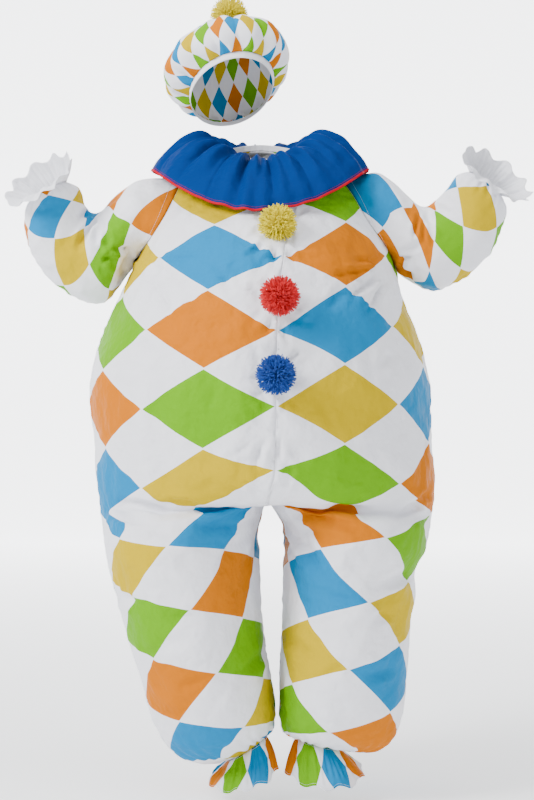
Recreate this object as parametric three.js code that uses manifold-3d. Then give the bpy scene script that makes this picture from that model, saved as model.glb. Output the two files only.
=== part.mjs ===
import * as THREE from 'three';
import Module from 'manifold-3d';

// Inflatable clown costume: one puffed suit of thin cloth, a ruff, three pompoms and a puffed hat.
// Millimetres. +X is the wearer's left, -Y is the front, +Z is up.
// The origin is the middle of the neck opening.

// Driving dimensions
const WALL = 2.0; // cloth wall of the suit
const FRILL_WALL = 1.6; // cloth wall of the ruff, the flares and the hat
const SEAM = 0.4; // clear distance between two pieces at a seam
const LIFT = 0.6; // distance of what lies on a panel
const PANEL_COLUMNS = 8; // quads across one panel
const SLEEVE_COLUMNS = 16; // quads round a sleeve
const STEP = 0.01; // step used to measure a slope
const ARMHOLE = { row: 4.45, rows: 1.95, angle: 25 * Math.PI / 180 };
const CROTCH_ROW = 16; // first row in which the legs part
const CROTCH_ROWS = 2; // rows over which they part
const RUFF_GATHERS = 18;
const HAT_GATHERS = 14;
const POMPOM_RADIUS = 40;
const POMPOM_CORE = 29;
const POMPOM_SEAT = 0.8; // share of the core's radius between its middle and its flat back
const NECK_BAND = { height: 14, wall: 0.02, taper: 0.03 };
const HAT_BAND = { height: 17, wall: 0.02, taper: 0.03 };
const BINDING = { width: 5, height: 2.6 };
const HAT_TOP = [-71, 23, 309.4];
const HAT_AXIS = [0, 0.27, 0.963];

// Rows of the torso, from the neck ring down: z at the sides, middle and half width in x, depth to the
// front and to the back, z at the front and at the back, and the turn of the front seam in degrees
const TORSO = [
  { z: 8, middle: 0, half: 80, front: 80, back: 76, zFront: -27, zBack: 25, turn: 0 },
  { z: -12, middle: 0, half: 122, front: 112, back: 116, zFront: -44, zBack: -4, turn: 2 },
  { z: -36, middle: 2, half: 160, front: 146, back: 156, zFront: -64, zBack: -34, turn: 4 },
  { z: -64, middle: 6, half: 195, front: 178, back: 190, zFront: -88, zBack: -66, turn: 6 },
  { z: -102, middle: 10, half: 226, front: 210, back: 224, zFront: -118, zBack: -104, turn: 8 },
  { z: -150, middle: 11, half: 252, front: 244, back: 262, zFront: -160, zBack: -152, turn: 9 },
  { z: -205, middle: 12, half: 279, front: 282, back: 298, zFront: -210, zBack: -206, turn: 9 },
  { z: -262, middle: 8, half: 300, front: 320, back: 326, zFront: -264, zBack: -262, turn: 8 },
  { z: -327, middle: 2, half: 325, front: 349, back: 342, zFront: -327, zBack: -327, turn: 7 },
  { z: -396, middle: 1, half: 355, front: 368, back: 360, zFront: -396, zBack: -396, turn: 6 },
  { z: -456, middle: -2, half: 374, front: 378, back: 370, zFront: -456, zBack: -456, turn: 6 },
  { z: -522, middle: -1, half: 389, front: 385, back: 376, zFront: -522, zBack: -522, turn: 5 },
  { z: -590, middle: 2, half: 389, front: 386, back: 378, zFront: -590, zBack: -590, turn: 5 },
  { z: -655, middle: 6, half: 386, front: 381, back: 374, zFront: -655, zBack: -655, turn: 4 },
  { z: -715, middle: 13, half: 388, front: 369, back: 363, zFront: -712, zBack: -715, turn: 3 },
  { z: -765, middle: 16, half: 386, front: 348, back: 346, zFront: -752, zBack: -765, turn: 1 },
  { z: -800, middle: 17, half: 383, front: 318, back: 322, zFront: -775, zBack: -798, turn: 0 },
  { z: -822, middle: 17, half: 380, front: 292, back: 298, zFront: -790, zBack: -818, turn: 0 },
  { z: -850, middle: 16, half: 376, front: 284, back: 284, zFront: -812, zBack: -842, turn: 0 },
  { z: -900, middle: 11, half: 365, front: 262, back: 262, zFront: -862, zBack: -880, turn: 0 },
];

// Rows of the legs from row CROTCH_ROW down: x of the outer and the inner line, depth to the front and
// to the back, middle in y, z of the outer line, and the rise of the inner line over it
const RIGHT_LEG = [
  { outer: -365, inner: 16, front: 304, back: 306, y: 0, z: -800, rise: 6 },
  { outer: -363, inner: 16, front: 294, back: 296, y: 0, z: -822, rise: 34 },
  { outer: -360, inner: 14, front: 294, back: 290, y: 0, z: -850, rise: 62 },
  { outer: -355, inner: -5, front: 290, back: 280, y: 0, z: -900, rise: 48 },
  { outer: -345, inner: -3, front: 275, back: 266, y: 0, z: -948, rise: 26 },
  { outer: -330, inner: -1, front: 260, back: 256, y: 0, z: -1000, rise: 10 },
  { outer: -313, inner: 4, front: 243, back: 243, y: 0, z: -1058, rise: 0 },
  { outer: -294, inner: 13, front: 224, back: 226, y: 0, z: -1132, rise: 0 },
  { outer: -274, inner: 27, front: 206, back: 208, y: 0, z: -1196, rise: 0 },
  { outer: -259, inner: 35, front: 190, back: 192, y: 0, z: -1250, rise: 8 },
  { outer: -244, inner: 36, front: 172, back: 174, y: 2, z: -1298, rise: 24 },
  { outer: -219, inner: 34, front: 146, back: 148, y: 4, z: -1344, rise: 46 },
  { outer: -182, inner: 30, front: 114, back: 114, y: 6, z: -1374, rise: 62 },
  { outer: -130, inner: 24, front: 80, back: 78, y: 8, z: -1388, rise: 66 },
  { outer: -74, inner: 16, front: 50, back: 50, y: 8, z: -1385, rise: 56 },
];
const LEFT_LEG = [
  { outer: 399, inner: 16, front: 304, back: 306, y: 0, z: -800, rise: 6 },
  { outer: 396, inner: 16, front: 294, back: 296, y: 0, z: -822, rise: 34 },
  { outer: 392, inner: 20, front: 294, back: 290, y: 0, z: -850, rise: 62 },
  { outer: 378, inner: 51, front: 290, back: 280, y: 0, z: -900, rise: 48 },
  { outer: 354, inner: 53, front: 275, back: 266, y: 0, z: -948, rise: 26 },
  { outer: 355, inner: 55, front: 260, back: 256, y: 0, z: -1000, rise: 10 },
  { outer: 345, inner: 54, front: 243, back: 243, y: 0, z: -1058, rise: 0 },
  { outer: 340, inner: 47, front: 224, back: 226, y: 0, z: -1132, rise: 0 },
  { outer: 334, inner: 43, front: 206, back: 208, y: 0, z: -1196, rise: 0 },
  { outer: 331, inner: 43, front: 190, back: 192, y: 0, z: -1250, rise: 0 },
  { outer: 322, inner: 44, front: 172, back: 174, y: 2, z: -1294, rise: 8 },
  { outer: 308, inner: 52, front: 146, back: 148, y: 4, z: -1330, rise: 18 },
  { outer: 280, inner: 62, front: 114, back: 114, y: 6, z: -1354, rise: 32 },
  { outer: 228, inner: 74, front: 80, back: 78, y: 8, z: -1363, rise: 34 },
  { outer: 182, inner: 84, front: 50, back: 50, y: 8, z: -1356, rise: 24 },
];

// Sections of the sleeves from the armhole to the wrist elastic: the top and the low point in x and z,
// half depth, and middle in y
const RIGHT_SLEEVE = [
  { topX: -236, topZ: -45, lowX: -270, lowZ: -228, deep: 105, y: 0 },
  { topX: -283, topZ: -51, lowX: -304, lowZ: -262, deep: 105, y: 0 },
  { topX: -317, topZ: -76, lowX: -332, lowZ: -304, deep: 108, y: 0 },
  { topX: -343, topZ: -98, lowX: -361, lowZ: -333, deep: 105, y: 0 },
  { topX: -361, topZ: -118, lowX: -398, lowZ: -333, deep: 100, y: -3 },
  { topX: -377, topZ: -128, lowX: -437, lowZ: -312, deep: 92, y: -8 },
  { topX: -389, topZ: -124, lowX: -478, lowZ: -279, deep: 85, y: -15 },
  { topX: -397, topZ: -115, lowX: -510, lowZ: -240, deep: 80, y: -25 },
  { topX: -402, topZ: -103, lowX: -528, lowZ: -201, deep: 76, y: -35 },
  { topX: -405, topZ: -90, lowX: -536, lowZ: -163, deep: 70, y: -45 },
  { topX: -415, topZ: -74, lowX: -533, lowZ: -130, deep: 62, y: -55 },
  { topX: -439, topZ: -63, lowX: -514, lowZ: -103, deep: 43, y: -66 },
];
const LEFT_SLEEVE = [
  { topX: 232, topZ: -38, lowX: 296, lowZ: -232, deep: 105, y: 0 },
  { topX: 271, topZ: -34, lowX: 320, lowZ: -265, deep: 105, y: 0 },
  { topX: 306, topZ: -56, lowX: 350, lowZ: -285, deep: 108, y: 0 },
  { topX: 336, topZ: -84, lowX: 378, lowZ: -301, deep: 105, y: 0 },
  { topX: 360, topZ: -106, lowX: 411, lowZ: -304, deep: 100, y: -3 },
  { topX: 379, topZ: -111, lowX: 444, lowZ: -289, deep: 92, y: -8 },
  { topX: 395, topZ: -103, lowX: 478, lowZ: -270, deep: 87, y: -15 },
  { topX: 410, topZ: -88, lowX: 511, lowZ: -243, deep: 83, y: -24 },
  { topX: 425, topZ: -73, lowX: 536, lowZ: -208, deep: 78, y: -34 },
  { topX: 436, topZ: -58, lowX: 554, lowZ: -165, deep: 71, y: -46 },
  { topX: 450, topZ: -46, lowX: 560, lowZ: -127, deep: 62, y: -57 },
  { topX: 476, topZ: -42, lowX: 544, lowZ: -94, deep: 43, y: -66 },
];

// Flares: the middle at the elastic and at the rim, the direction of the mouth at both, their radii, and
// the depth and number of their waves
const FLARES = {
  right_wrist_flare: {
    from: [-476.7, -66, -82.6], to: [-497, -96, -60], start: [-0.47, 0, 0.88], end: [-0.5, -0.5, 0.7],
    narrow: 42, wide: 87, wave: 9, waves: 10,
  },
  left_wrist_flare: {
    from: [510.3, -66, -67.6], to: [534, -96, -50], start: [0.607, 0, 0.794], end: [0.5, -0.5, 0.7],
    narrow: 42, wide: 90, wave: 9, waves: 10,
  },
  right_ankle_flare: {
    from: [-28.7, 8, -1357.4], to: [-38, -8, -1414], start: [0.528, 0, -0.849], end: [0.2, 0.3, -0.93],
    narrow: 51, wide: 80, wave: 6.5, waves: 9,
  },
  left_ankle_flare: {
    from: [132.9, 8, -1344.5], to: [149, -8, -1406], start: [-0.238, 0, -0.971], end: [-0.05, 0.3, -0.95],
    narrow: 50, wide: 90, wave: 6.5, waves: 9,
  },
};

// Rings of the hat from the opening to the crown: middle, half width, half length and tilt in degrees
const HAT = [
  { x: -65, y: -2, z: 162, half: 100, length: 110, tilt: 36, wave: 0 },
  { x: -66, y: 1, z: 170, half: 116, length: 122, tilt: 33, wave: 5 },
  { x: -71, y: 6, z: 184, half: 136, length: 136, tilt: 30, wave: 4 },
  { x: -77, y: 10, z: 206, half: 146, length: 139, tilt: 27, wave: 3 },
  { x: -80, y: 14, z: 234, half: 139, length: 132, tilt: 24, wave: 3 },
  { x: -80, y: 18, z: 263, half: 119, length: 113, tilt: 21, wave: 3 },
  { x: -77, y: 21, z: 286, half: 88, length: 84, tilt: 18, wave: 4 },
  { x: -73, y: 22, z: 301, half: 50, length: 48, tilt: 16, wave: 3 },
  { x: -71, y: 23, z: 307, half: 0, length: 0, tilt: 16, wave: 0 },
];
const HAT_ROLL = 12 * Math.PI / 180;

// Colours of the cloth
const WHITE = 0xeaebf0;
const BLUE = 0x0e5fb0;
const RED = 0xe8434a;
const GREY = 0xb9bcc2;

const wasm = await Module();
wasm.setup();
const { Manifold } = wasm;

/** Smooth value of a named column at a row that may lie between two rows. */
function smooth(table, name, row) {
  const last = table.length - 1;
  const index = Math.min(Math.max(Math.floor(row), 0), last - 1);
  const f = row - index;
  const read = (i) => {
    if (i < 0) return 2 * table[0][name] - table[1][name];
    if (i > last) return 2 * table[last][name] - table[last - 1][name];
    return table[i][name];
  };
  const before = read(index - 1);
  const a = read(index);
  const b = read(index + 1);
  const after = read(index + 2);
  const bend = 2 * before - 5 * a + 4 * b - after + f * (3 * (a - b) + after - before);
  return a + 0.5 * f * (b - before + f * bend);
}

function mix(a, b, share) {
  return a + (b - a) * share;
}

function ease(value) {
  const v = Math.min(Math.max(value, 0), 1);
  return v * v * (3 - 2 * v);
}

/** A repeatable number from 0 to 1 for each whole number. */
function scatter(seed) {
  const raw = Math.sin(seed * 127.1 + 11.7) * 43758.5453;
  return raw - Math.floor(raw);
}

/** Point of the torso at an angle from the front towards the wearer's left, on a row. */
function torsoPoint(angle, row) {
  const read = (name) => smooth(TORSO, name, row);
  const across = Math.sin(angle);
  const along = Math.cos(angle);
  const front = along > 0;
  const z = read('z');
  const zEnd = read(front ? 'zFront' : 'zBack');
  const x = read('middle') + read('half') * across;
  const y = -read(front ? 'front' : 'back') * along;
  return new THREE.Vector3(x, y, z + (zEnd - z) * along * along);
}

/** Point of a leg: round runs from 0 on the inner line to PI on the outer line. */
function legPoint(side, face, round, row) {
  const table = side > 0 ? LEFT_LEG : RIGHT_LEG;
  const read = (name) => smooth(table, name, row - CROTCH_ROW);
  const inner = read('inner') + side * SEAM / 2;
  const outer = read('outer');
  const deep = read(face > 0 ? 'front' : 'back');
  const x = (inner + outer) / 2 + (inner - outer) / 2 * Math.cos(round);
  const lift = Math.cos(Math.min(Math.max(round, 0), Math.PI) / 2) ** 2;
  return new THREE.Vector3(x, read('y') - face * deep * Math.sin(round), read('z') + read('rise') * lift);
}

/** Half angle of the armhole at a row. */
function armholeAngle(row) {
  const reach = 1 - ((row - ARMHOLE.row) / ARMHOLE.rows) ** 2;
  return reach > 0 ? ARMHOLE.angle * Math.sqrt(reach) : 0;
}

/** Angle on the torso for a column of a panel. */
function panelAngle(side, face, u, row) {
  const turn = face > 0 ? smooth(TORSO, 'turn', row) * Math.PI / 180 : 0;
  const gap = SEAM / 2 / smooth(TORSO, 'half', row);
  const hole = armholeAngle(row);
  const seam = Math.PI / 2 - Math.max(hole, gap);
  if (face > 0) return mix(turn + side * gap, side * seam, u);
  return side * (Math.PI - mix(gap, seam, u));
}

/** Share of the leg form in a row of a panel. */
function legShare(row) {
  return ease((row - CROTCH_ROW) / CROTCH_ROWS);
}

function panelPoint(side, face, u, row) {
  const share = legShare(row);
  const gap = SEAM / 2 / 180;
  const torso = share < 1 ? torsoPoint(panelAngle(side, face, u, row), row) : null;
  if (share <= 0) return torso;
  const leg = legPoint(side, face, mix(gap, Math.PI - gap, u), row);
  return share >= 1 ? leg : torso.lerp(leg, share);
}

/** Outward direction of a surface given as a function of two numbers. */
function outward(surface, u, v, inside) {
  const along = surface(u + STEP, v).sub(surface(u - STEP, v));
  const down = surface(u, v + STEP).sub(surface(u, v - STEP));
  const normal = along.cross(down).normalize();
  const away = surface(u, v).sub(inside);
  return normal.dot(away) < 0 ? normal.negate() : normal;
}

function torsoNormal(angle, row) {
  const height = Math.min(smooth(TORSO, 'z', row) - 60, -120);
  const inside = new THREE.Vector3(smooth(TORSO, 'middle', row), 0, height);
  return outward((a, r) => torsoPoint(a, r), angle, row, inside);
}

function legInside(side, row) {
  const table = side > 0 ? LEFT_LEG : RIGHT_LEG;
  const read = (name) => smooth(table, name, row - CROTCH_ROW);
  const last = table[table.length - 1];
  const x = (read('outer') + read('inner')) / 2;
  const foot = (last.outer + last.inner) / 2;
  const share = ease((row - CROTCH_ROW - 9) / 4);
  return new THREE.Vector3(mix(x, foot, share), 0, read('z') + 60 * share);
}

function panelNormal(side, face, u, row) {
  if (legShare(row) <= 0) return torsoNormal(panelAngle(side, face, u, row), row);
  const inside = legInside(side, row);
  return outward((a, r) => panelPoint(side, face, a, r), u, row, inside);
}

/** Closed body from an outer and an inner grid of points, with its open edges joined. */
function wallGeometry(outer, inner, wrap) {
  const rows = outer.length;
  const columns = outer[0].length;
  const points = [];
  const faces = [];
  const known = new Map();
  const index = (p) => {
    const key = `${Math.round(p.x * 500)},${Math.round(p.y * 500)},${Math.round(p.z * 500)}`;
    if (!known.has(key)) {
      known.set(key, points.length / 3);
      points.push(p.x, p.y, p.z);
    }
    return known.get(key);
  };
  const triangle = (a, b, c) => {
    if (a !== b && b !== c && a !== c) faces.push(a, b, c);
  };
  const quad = (a, b, c, d) => {
    const [i, j, k, l] = [index(a), index(b), index(c), index(d)];
    triangle(i, j, k);
    triangle(i, k, l);
  };
  const across = wrap ? columns : columns - 1;
  for (let r = 0; r < rows - 1; r += 1) {
    for (let c = 0; c < across; c += 1) {
      const n = (c + 1) % columns;
      quad(outer[r][c], outer[r][n], outer[r + 1][n], outer[r + 1][c]);
      quad(inner[r][c], inner[r + 1][c], inner[r + 1][n], inner[r][n]);
    }
    if (!wrap) {
      quad(outer[r][0], outer[r + 1][0], inner[r + 1][0], inner[r][0]);
      quad(outer[r][across], inner[r][across], inner[r + 1][across], outer[r + 1][across]);
    }
  }
  for (let c = 0; c < across; c += 1) {
    const n = (c + 1) % columns;
    quad(outer[0][c], inner[0][c], inner[0][n], outer[0][n]);
    quad(outer[rows - 1][c], outer[rows - 1][n], inner[rows - 1][n], inner[rows - 1][c]);
  }
  return closedGeometry(points, faces);
}

/** Indexed geometry whose faces look outwards. */
function closedGeometry(points, faces) {
  const at = (i) => new THREE.Vector3(points[3 * i], points[3 * i + 1], points[3 * i + 2]);
  let volume = 0;
  for (let i = 0; i < faces.length; i += 3) {
    volume += at(faces[i]).dot(at(faces[i + 1]).cross(at(faces[i + 2])));
  }
  const turned = [];
  for (let i = 0; i < faces.length; i += 3) {
    const [a, b, c] = faces.slice(i, i + 3);
    turned.push(...(volume < 0 ? [a, c, b] : [a, b, c]));
  }
  const geometry = new THREE.BufferGeometry();
  geometry.setAttribute('position', new THREE.Float32BufferAttribute(points, 3));
  geometry.setIndex(turned);
  geometry.computeVertexNormals();
  return geometry;
}

function cloth(name, geometry, colour, roughness = 0.55, metalness = 0) {
  const material = new THREE.MeshStandardMaterial({ color: colour, roughness, metalness });
  const mesh = new THREE.Mesh(geometry, material);
  mesh.name = name;
  return mesh;
}

/** Wall between a grid of points and the same grid moved in along its normals. */
function offsetWall(grid, normals, wall, wrap) {
  const inner = grid.map((line, r) => line.map((p, c) => p.clone().addScaledVector(normals[r][c], -wall)));
  return wallGeometry(grid, inner, wrap);
}

// Suit panels
const ARMHOLE_STEPS = SLEEVE_COLUMNS / 2;
const PANEL_ROWS = [0, 1, 1.9];
for (let i = 0; i <= ARMHOLE_STEPS; i += 1) {
  PANEL_ROWS.push(ARMHOLE.row - ARMHOLE.rows * Math.cos(Math.PI * i / ARMHOLE_STEPS));
}
PANEL_ROWS.push(7, 8, 9, 10, 11, 12, 13, 14, 15, 16, 16.5, 17, 17.5, 18, 18.5, 19);
for (let row = 20; row <= 30; row += 1) PANEL_ROWS.push(row);

/** Small gathers of the leg near the ankle elastic. */
function ankleGather(u, row) {
  const strength = row > 29.5 ? 0 : ease((row - 27.5) / 2);
  return 5 * strength * Math.cos(Math.PI * u * PANEL_COLUMNS);
}

function panelGeometry(side, face) {
  const grid = [];
  const normals = [];
  for (const row of PANEL_ROWS) {
    const line = [];
    const lineNormals = [];
    for (let c = 0; c <= PANEL_COLUMNS; c += 1) {
      const u = c / PANEL_COLUMNS;
      const normal = panelNormal(side, face, u, row);
      lineNormals.push(normal);
      line.push(panelPoint(side, face, u, row).addScaledVector(normal, ankleGather(u, row)));
    }
    grid.push(line);
    normals.push(lineNormals);
  }
  return offsetWall(grid, normals, WALL, false);
}

// Sleeves
function armholePoint(side, turn) {
  const angle = side * (Math.PI / 2 - ARMHOLE.angle * Math.sin(turn));
  const row = ARMHOLE.row - ARMHOLE.rows * Math.cos(turn);
  return torsoPoint(angle, row).addScaledVector(torsoNormal(angle, row), SEAM + 0.2);
}

function sleeveSection(table, turn, row) {
  const read = (name) => smooth(table, name, row);
  const top = new THREE.Vector3(read('topX'), read('y'), read('topZ'));
  const low = new THREE.Vector3(read('lowX'), read('y'), read('lowZ'));
  const middle = top.clone().add(low).multiplyScalar(0.5);
  return middle.clone()
    .addScaledVector(top.sub(middle), Math.cos(turn))
    .add(new THREE.Vector3(0, -read('deep') * Math.sin(turn), 0));
}

function sleevePoint(side, turn, row) {
  const table = side > 0 ? LEFT_SLEEVE : RIGHT_SLEEVE;
  const point = sleeveSection(table, turn, row);
  if (row >= 1) return point;
  const first = armholePoint(side, turn).sub(sleeveSection(table, turn, 0));
  return point.addScaledVector(first, (1 - row) ** 2);
}

function sleeveGeometry(side) {
  const table = side > 0 ? LEFT_SLEEVE : RIGHT_SLEEVE;
  const last = table.length - 1;
  const rows = [0, 0.5, 1, 2, 3, 4, 5, 6, 7, 8, 9, 10, 10.6, 11];
  const grid = [];
  const normals = [];
  for (const row of rows) {
    const line = [];
    const lineNormals = [];
    const gather = row === last ? 0 : 4.5 * ease((row - 8.5) / 1.8);
    for (let c = 0; c < SLEEVE_COLUMNS; c += 1) {
      const turn = 2 * Math.PI * c / SLEEVE_COLUMNS;
      const middle = sleevePoint(side, 0, row).add(sleevePoint(side, Math.PI, row)).multiplyScalar(0.5);
      const normal = outward((a, r) => sleevePoint(side, a, r), turn, Math.max(row, STEP), middle);
      lineNormals.push(normal);
      line.push(sleevePoint(side, turn, row).addScaledVector(normal, gather * Math.cos(Math.PI * c)));
    }
    grid.push(line);
    normals.push(lineNormals);
  }
  return offsetWall(grid, normals, WALL, true);
}

// Flares at the wrists and the ankles
function flarePoint(flare, turn, v) {
  const from = new THREE.Vector3(...flare.from);
  const to = new THREE.Vector3(...flare.to);
  const end = new THREE.Vector3(...flare.end);
  const axis = new THREE.Vector3(...flare.start).lerp(end, v).normalize();
  const front = new THREE.Vector3(0, -1, 0).addScaledVector(axis, axis.y).normalize();
  const sideways = axis.clone().cross(front);
  const ripple = flare.wave * 0.5 * v * Math.cos(flare.waves * turn);
  const radius = mix(flare.narrow, flare.wide, v ** 0.85) + ripple;
  const sway = flare.wave * v * Math.cos(flare.waves * turn + 0.9);
  return from.lerp(to, v)
    .addScaledVector(front, radius * Math.cos(turn))
    .addScaledVector(sideways, radius * Math.sin(turn))
    .addScaledVector(axis, sway);
}

function flareGeometry(flare) {
  const around = flare.waves * 4;
  const levels = [0, 0.45, 1];
  const inside = new THREE.Vector3(...flare.to);
  const grid = [];
  const normals = [];
  for (const v of levels) {
    const line = [];
    const lineNormals = [];
    for (let c = 0; c < around; c += 1) {
      const turn = 2 * Math.PI * c / around;
      lineNormals.push(outward((a, r) => flarePoint(flare, a, r), turn, Math.max(v, STEP), inside));
      line.push(flarePoint(flare, turn, v));
    }
    grid.push(line);
    normals.push(lineNormals);
  }
  return offsetWall(grid, normals, FRILL_WALL, true);
}

// Ruff: rows from the neck to the rim, with radius and height at the front, the sides and the back
const RUFF = [
  { front: 79.4, side: 79.4, back: 75.4, zFront: -19, zSide: 15, zBack: 31, wave: 0 },
  { front: 104, side: 104, back: 100, zFront: -14, zSide: 36, zBack: 36, wave: 6 },
  { front: 138, side: 136, back: 134, zFront: -22, zSide: 50, zBack: 40, wave: 12 },
  { front: 174, side: 172, back: 170, zFront: -44, zSide: 42, zBack: 33, wave: 10 },
  { front: 208, side: 206, back: 204, zFront: -78, zSide: 20, zBack: 17, wave: 6 },
  { front: 236, side: 232, back: 228, zFront: -112, zSide: -6, zBack: -2, wave: 3 },
  { front: 254, side: 246, back: 242, zFront: -142, zSide: -28, zBack: -20, wave: 1.5 },
];

function ruffPoint(turn, row) {
  const read = (name) => smooth(RUFF, name, row);
  const along = Math.cos(turn);
  const share = along * along;
  const radius = mix(read('side'), read(along > 0 ? 'front' : 'back'), share);
  const height = mix(read('zSide'), read(along > 0 ? 'zFront' : 'zBack'), share);
  return new THREE.Vector3(radius * Math.sin(turn), -radius * along, height);
}

function ruffGrid() {
  const around = RUFF_GATHERS * 4;
  const inside = new THREE.Vector3(0, 0, -150);
  const grid = [];
  const normals = [];
  for (let row = 0; row < RUFF.length; row += 1) {
    const line = [];
    const lineNormals = [];
    for (let c = 0; c < around; c += 1) {
      const turn = 2 * Math.PI * c / around;
      const normal = outward(ruffPoint, turn, row, inside);
      const depth = RUFF[row].wave * (0.75 + 0.5 * scatter(Math.floor(c / 4)));
      lineNormals.push(normal);
      line.push(ruffPoint(turn, row).addScaledVector(normal, depth * Math.cos(Math.PI * c / 2)));
    }
    grid.push(line);
    normals.push(lineNormals);
  }
  return { grid, normals };
}

/** Square strip that follows a closed line of points, clear of the edge beside it. */
function bindingGeometry(edge, outwards, ups) {
  const corner = (c, a, b) => edge[c].clone()
    .addScaledVector(outwards[c], SEAM + a * BINDING.width)
    .addScaledVector(ups[c], (b - 0.5) * BINDING.height);
  const outer = [edge.map((p, c) => corner(c, 1, 0)), edge.map((p, c) => corner(c, 1, 1))];
  const inner = [edge.map((p, c) => corner(c, 0, 0)), edge.map((p, c) => corner(c, 0, 1))];
  return wallGeometry(outer, inner, true);
}

// Neck band: a short standing band on the neck ring
function neckBandGeometry() {
  const around = 32;
  const ring = (radius, lift) => {
    const line = [];
    for (let c = 0; c < around; c += 1) {
      const turn = 2 * Math.PI * c / around;
      const base = torsoPoint(turn, 0);
      line.push(new THREE.Vector3(base.x * radius, base.y * radius, base.z + lift));
    }
    return line;
  };
  const wall = (inset) => [ring(1 - inset, SEAM), ring(1 - inset - NECK_BAND.taper, NECK_BAND.height)];
  return wallGeometry(wall(0), wall(NECK_BAND.wall), true);
}

// Hat
function hatPoint(turn, row) {
  const read = (name) => smooth(HAT, name, row);
  const tilt = read('tilt') * Math.PI / 180;
  const wide = Math.max(read('half'), 0);
  const long = Math.max(read('length'), 0);
  const front = new THREE.Vector3(0, -Math.cos(tilt), Math.sin(tilt));
  const sideways = new THREE.Vector3(Math.cos(HAT_ROLL), 0, Math.sin(HAT_ROLL));
  return new THREE.Vector3(read('x'), read('y'), read('z'))
    .addScaledVector(front, long * Math.cos(turn))
    .addScaledVector(sideways, wide * Math.sin(turn));
}

function hatGeometry() {
  const around = HAT_GATHERS * 4;
  const top = HAT.length - 1;
  const outer = [];
  const inner = [];
  const middle = new THREE.Vector3(-76, 10, 205);
  for (let row = 0; row <= top; row += 1) {
    const line = [];
    const back = [];
    for (let c = 0; c < around; c += 1) {
      const turn = 2 * Math.PI * c / around;
      const normal = row === top
        ? new THREE.Vector3(0, 0.28, 0.96)
        : outward(hatPoint, turn, Math.min(row, top - 0.1), middle);
      const depth = HAT[row].wave * (0.7 + 0.6 * scatter(Math.floor(c / 4) + 40));
      const point = hatPoint(turn, row).addScaledVector(normal, depth * Math.cos(Math.PI * c / 2));
      line.push(point);
      back.push(point.clone().addScaledVector(normal, -FRILL_WALL));
    }
    outer.push(line);
    inner.push(back);
  }
  return wallGeometry(outer, inner, true);
}

function hatBandGeometry() {
  const around = 36;
  const middle = new THREE.Vector3(HAT[0].x, HAT[0].y, HAT[0].z);
  const tilt = HAT[0].tilt * Math.PI / 180;
  const down = new THREE.Vector3(0, -Math.sin(tilt), -Math.cos(tilt));
  const line = (drop, scale) => {
    const points = [];
    for (let c = 0; c < around; c += 1) {
      const point = hatPoint(2 * Math.PI * c / around, 0).sub(middle).multiplyScalar(scale).add(middle);
      points.push(point.addScaledVector(down, drop));
    }
    return points;
  };
  const wall = (inset) => [line(SEAM + 0.6, 1 - inset), line(HAT_BAND.height, 1 - inset - HAT_BAND.taper)];
  return wallGeometry(wall(0), wall(HAT_BAND.wall), true);
}

// Pompoms
/** Ball of pointed locks on a flat back. Its axis is the direction it faces. */
function pompomGeometry(base, axis, seed) {
  const around = 10;
  const heights = [0.96, 0.78, 0.5, 0.18, -0.16, -0.5, -0.8];
  const up = new THREE.Vector3(0, 0, 1);
  const sideways = up.clone().cross(axis).normalize();
  const vertical = axis.clone().cross(sideways);
  const seat = POMPOM_CORE * POMPOM_SEAT;
  const centre = base.clone().addScaledVector(axis, seat + LIFT);
  const points = [];
  const faces = [];
  const add = (turn, height, radius) => {
    const flat = Math.sqrt(Math.max(1 - height * height, 0));
    const p = centre.clone()
      .addScaledVector(axis, height * radius)
      .addScaledVector(sideways, flat * radius * Math.cos(turn))
      .addScaledVector(vertical, flat * radius * Math.sin(turn));
    points.push(p.x, p.y, p.z);
    return points.length / 3 - 1;
  };
  const rings = heights.map((height, r) => {
    const ring = [];
    for (let c = 0; c < around; c += 1) {
      ring.push(add(2 * Math.PI * (c + r * 0.35) / around, height, POMPOM_CORE));
    }
    return ring;
  });
  const top = add(0, 1, POMPOM_RADIUS * 0.95);
  const foot = centre.clone().addScaledVector(axis, -seat);
  const back = points.push(foot.x, foot.y, foot.z) / 3 - 1;
  for (let c = 0; c < around; c += 1) {
    const n = (c + 1) % around;
    faces.push(rings[0][c], rings[0][n], top);
    faces.push(rings[heights.length - 1][n], rings[heights.length - 1][c], back);
    for (let r = 0; r < heights.length - 1; r += 1) {
      const turn = 2 * Math.PI * (c + 0.5 + (r + 0.5) * 0.35) / around;
      const height = (heights[r] + heights[r + 1]) / 2;
      const reach = POMPOM_RADIUS * (0.9 + 0.14 * scatter(seed + c * 7 + r * 31));
      const low = height < -0.5 ? POMPOM_CORE * 1.16 : reach;
      const tip = add(turn, height, low);
      const corners = [rings[r][c], rings[r + 1][c], rings[r + 1][n], rings[r][n]];
      corners.forEach((corner, i) => faces.push(corner, corners[(i + 1) % 4], tip));
    }
  }
  return closedGeometry(points, faces);
}

// Zip at the back
function zipStrip(rowFrom, rowTo, half, thick) {
  const rows = PANEL_ROWS.filter((row) => row > rowFrom && row < rowTo);
  rows.unshift(rowFrom);
  rows.push(rowTo);
  const outer = [];
  const inner = [];
  for (const row of rows) {
    const lines = [[], []];
    for (const x of [-half, half]) {
      const angle = Math.PI - x / smooth(TORSO, 'half', row);
      const point = torsoPoint(angle, row);
      const normal = torsoNormal(angle, row);
      lines[0].push(point.clone().addScaledVector(normal, LIFT + thick));
      lines[1].push(point.addScaledVector(normal, LIFT));
    }
    outer.push(lines[0]);
    inner.push(lines[1]);
  }
  return wallGeometry(outer, inner, false);
}

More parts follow.
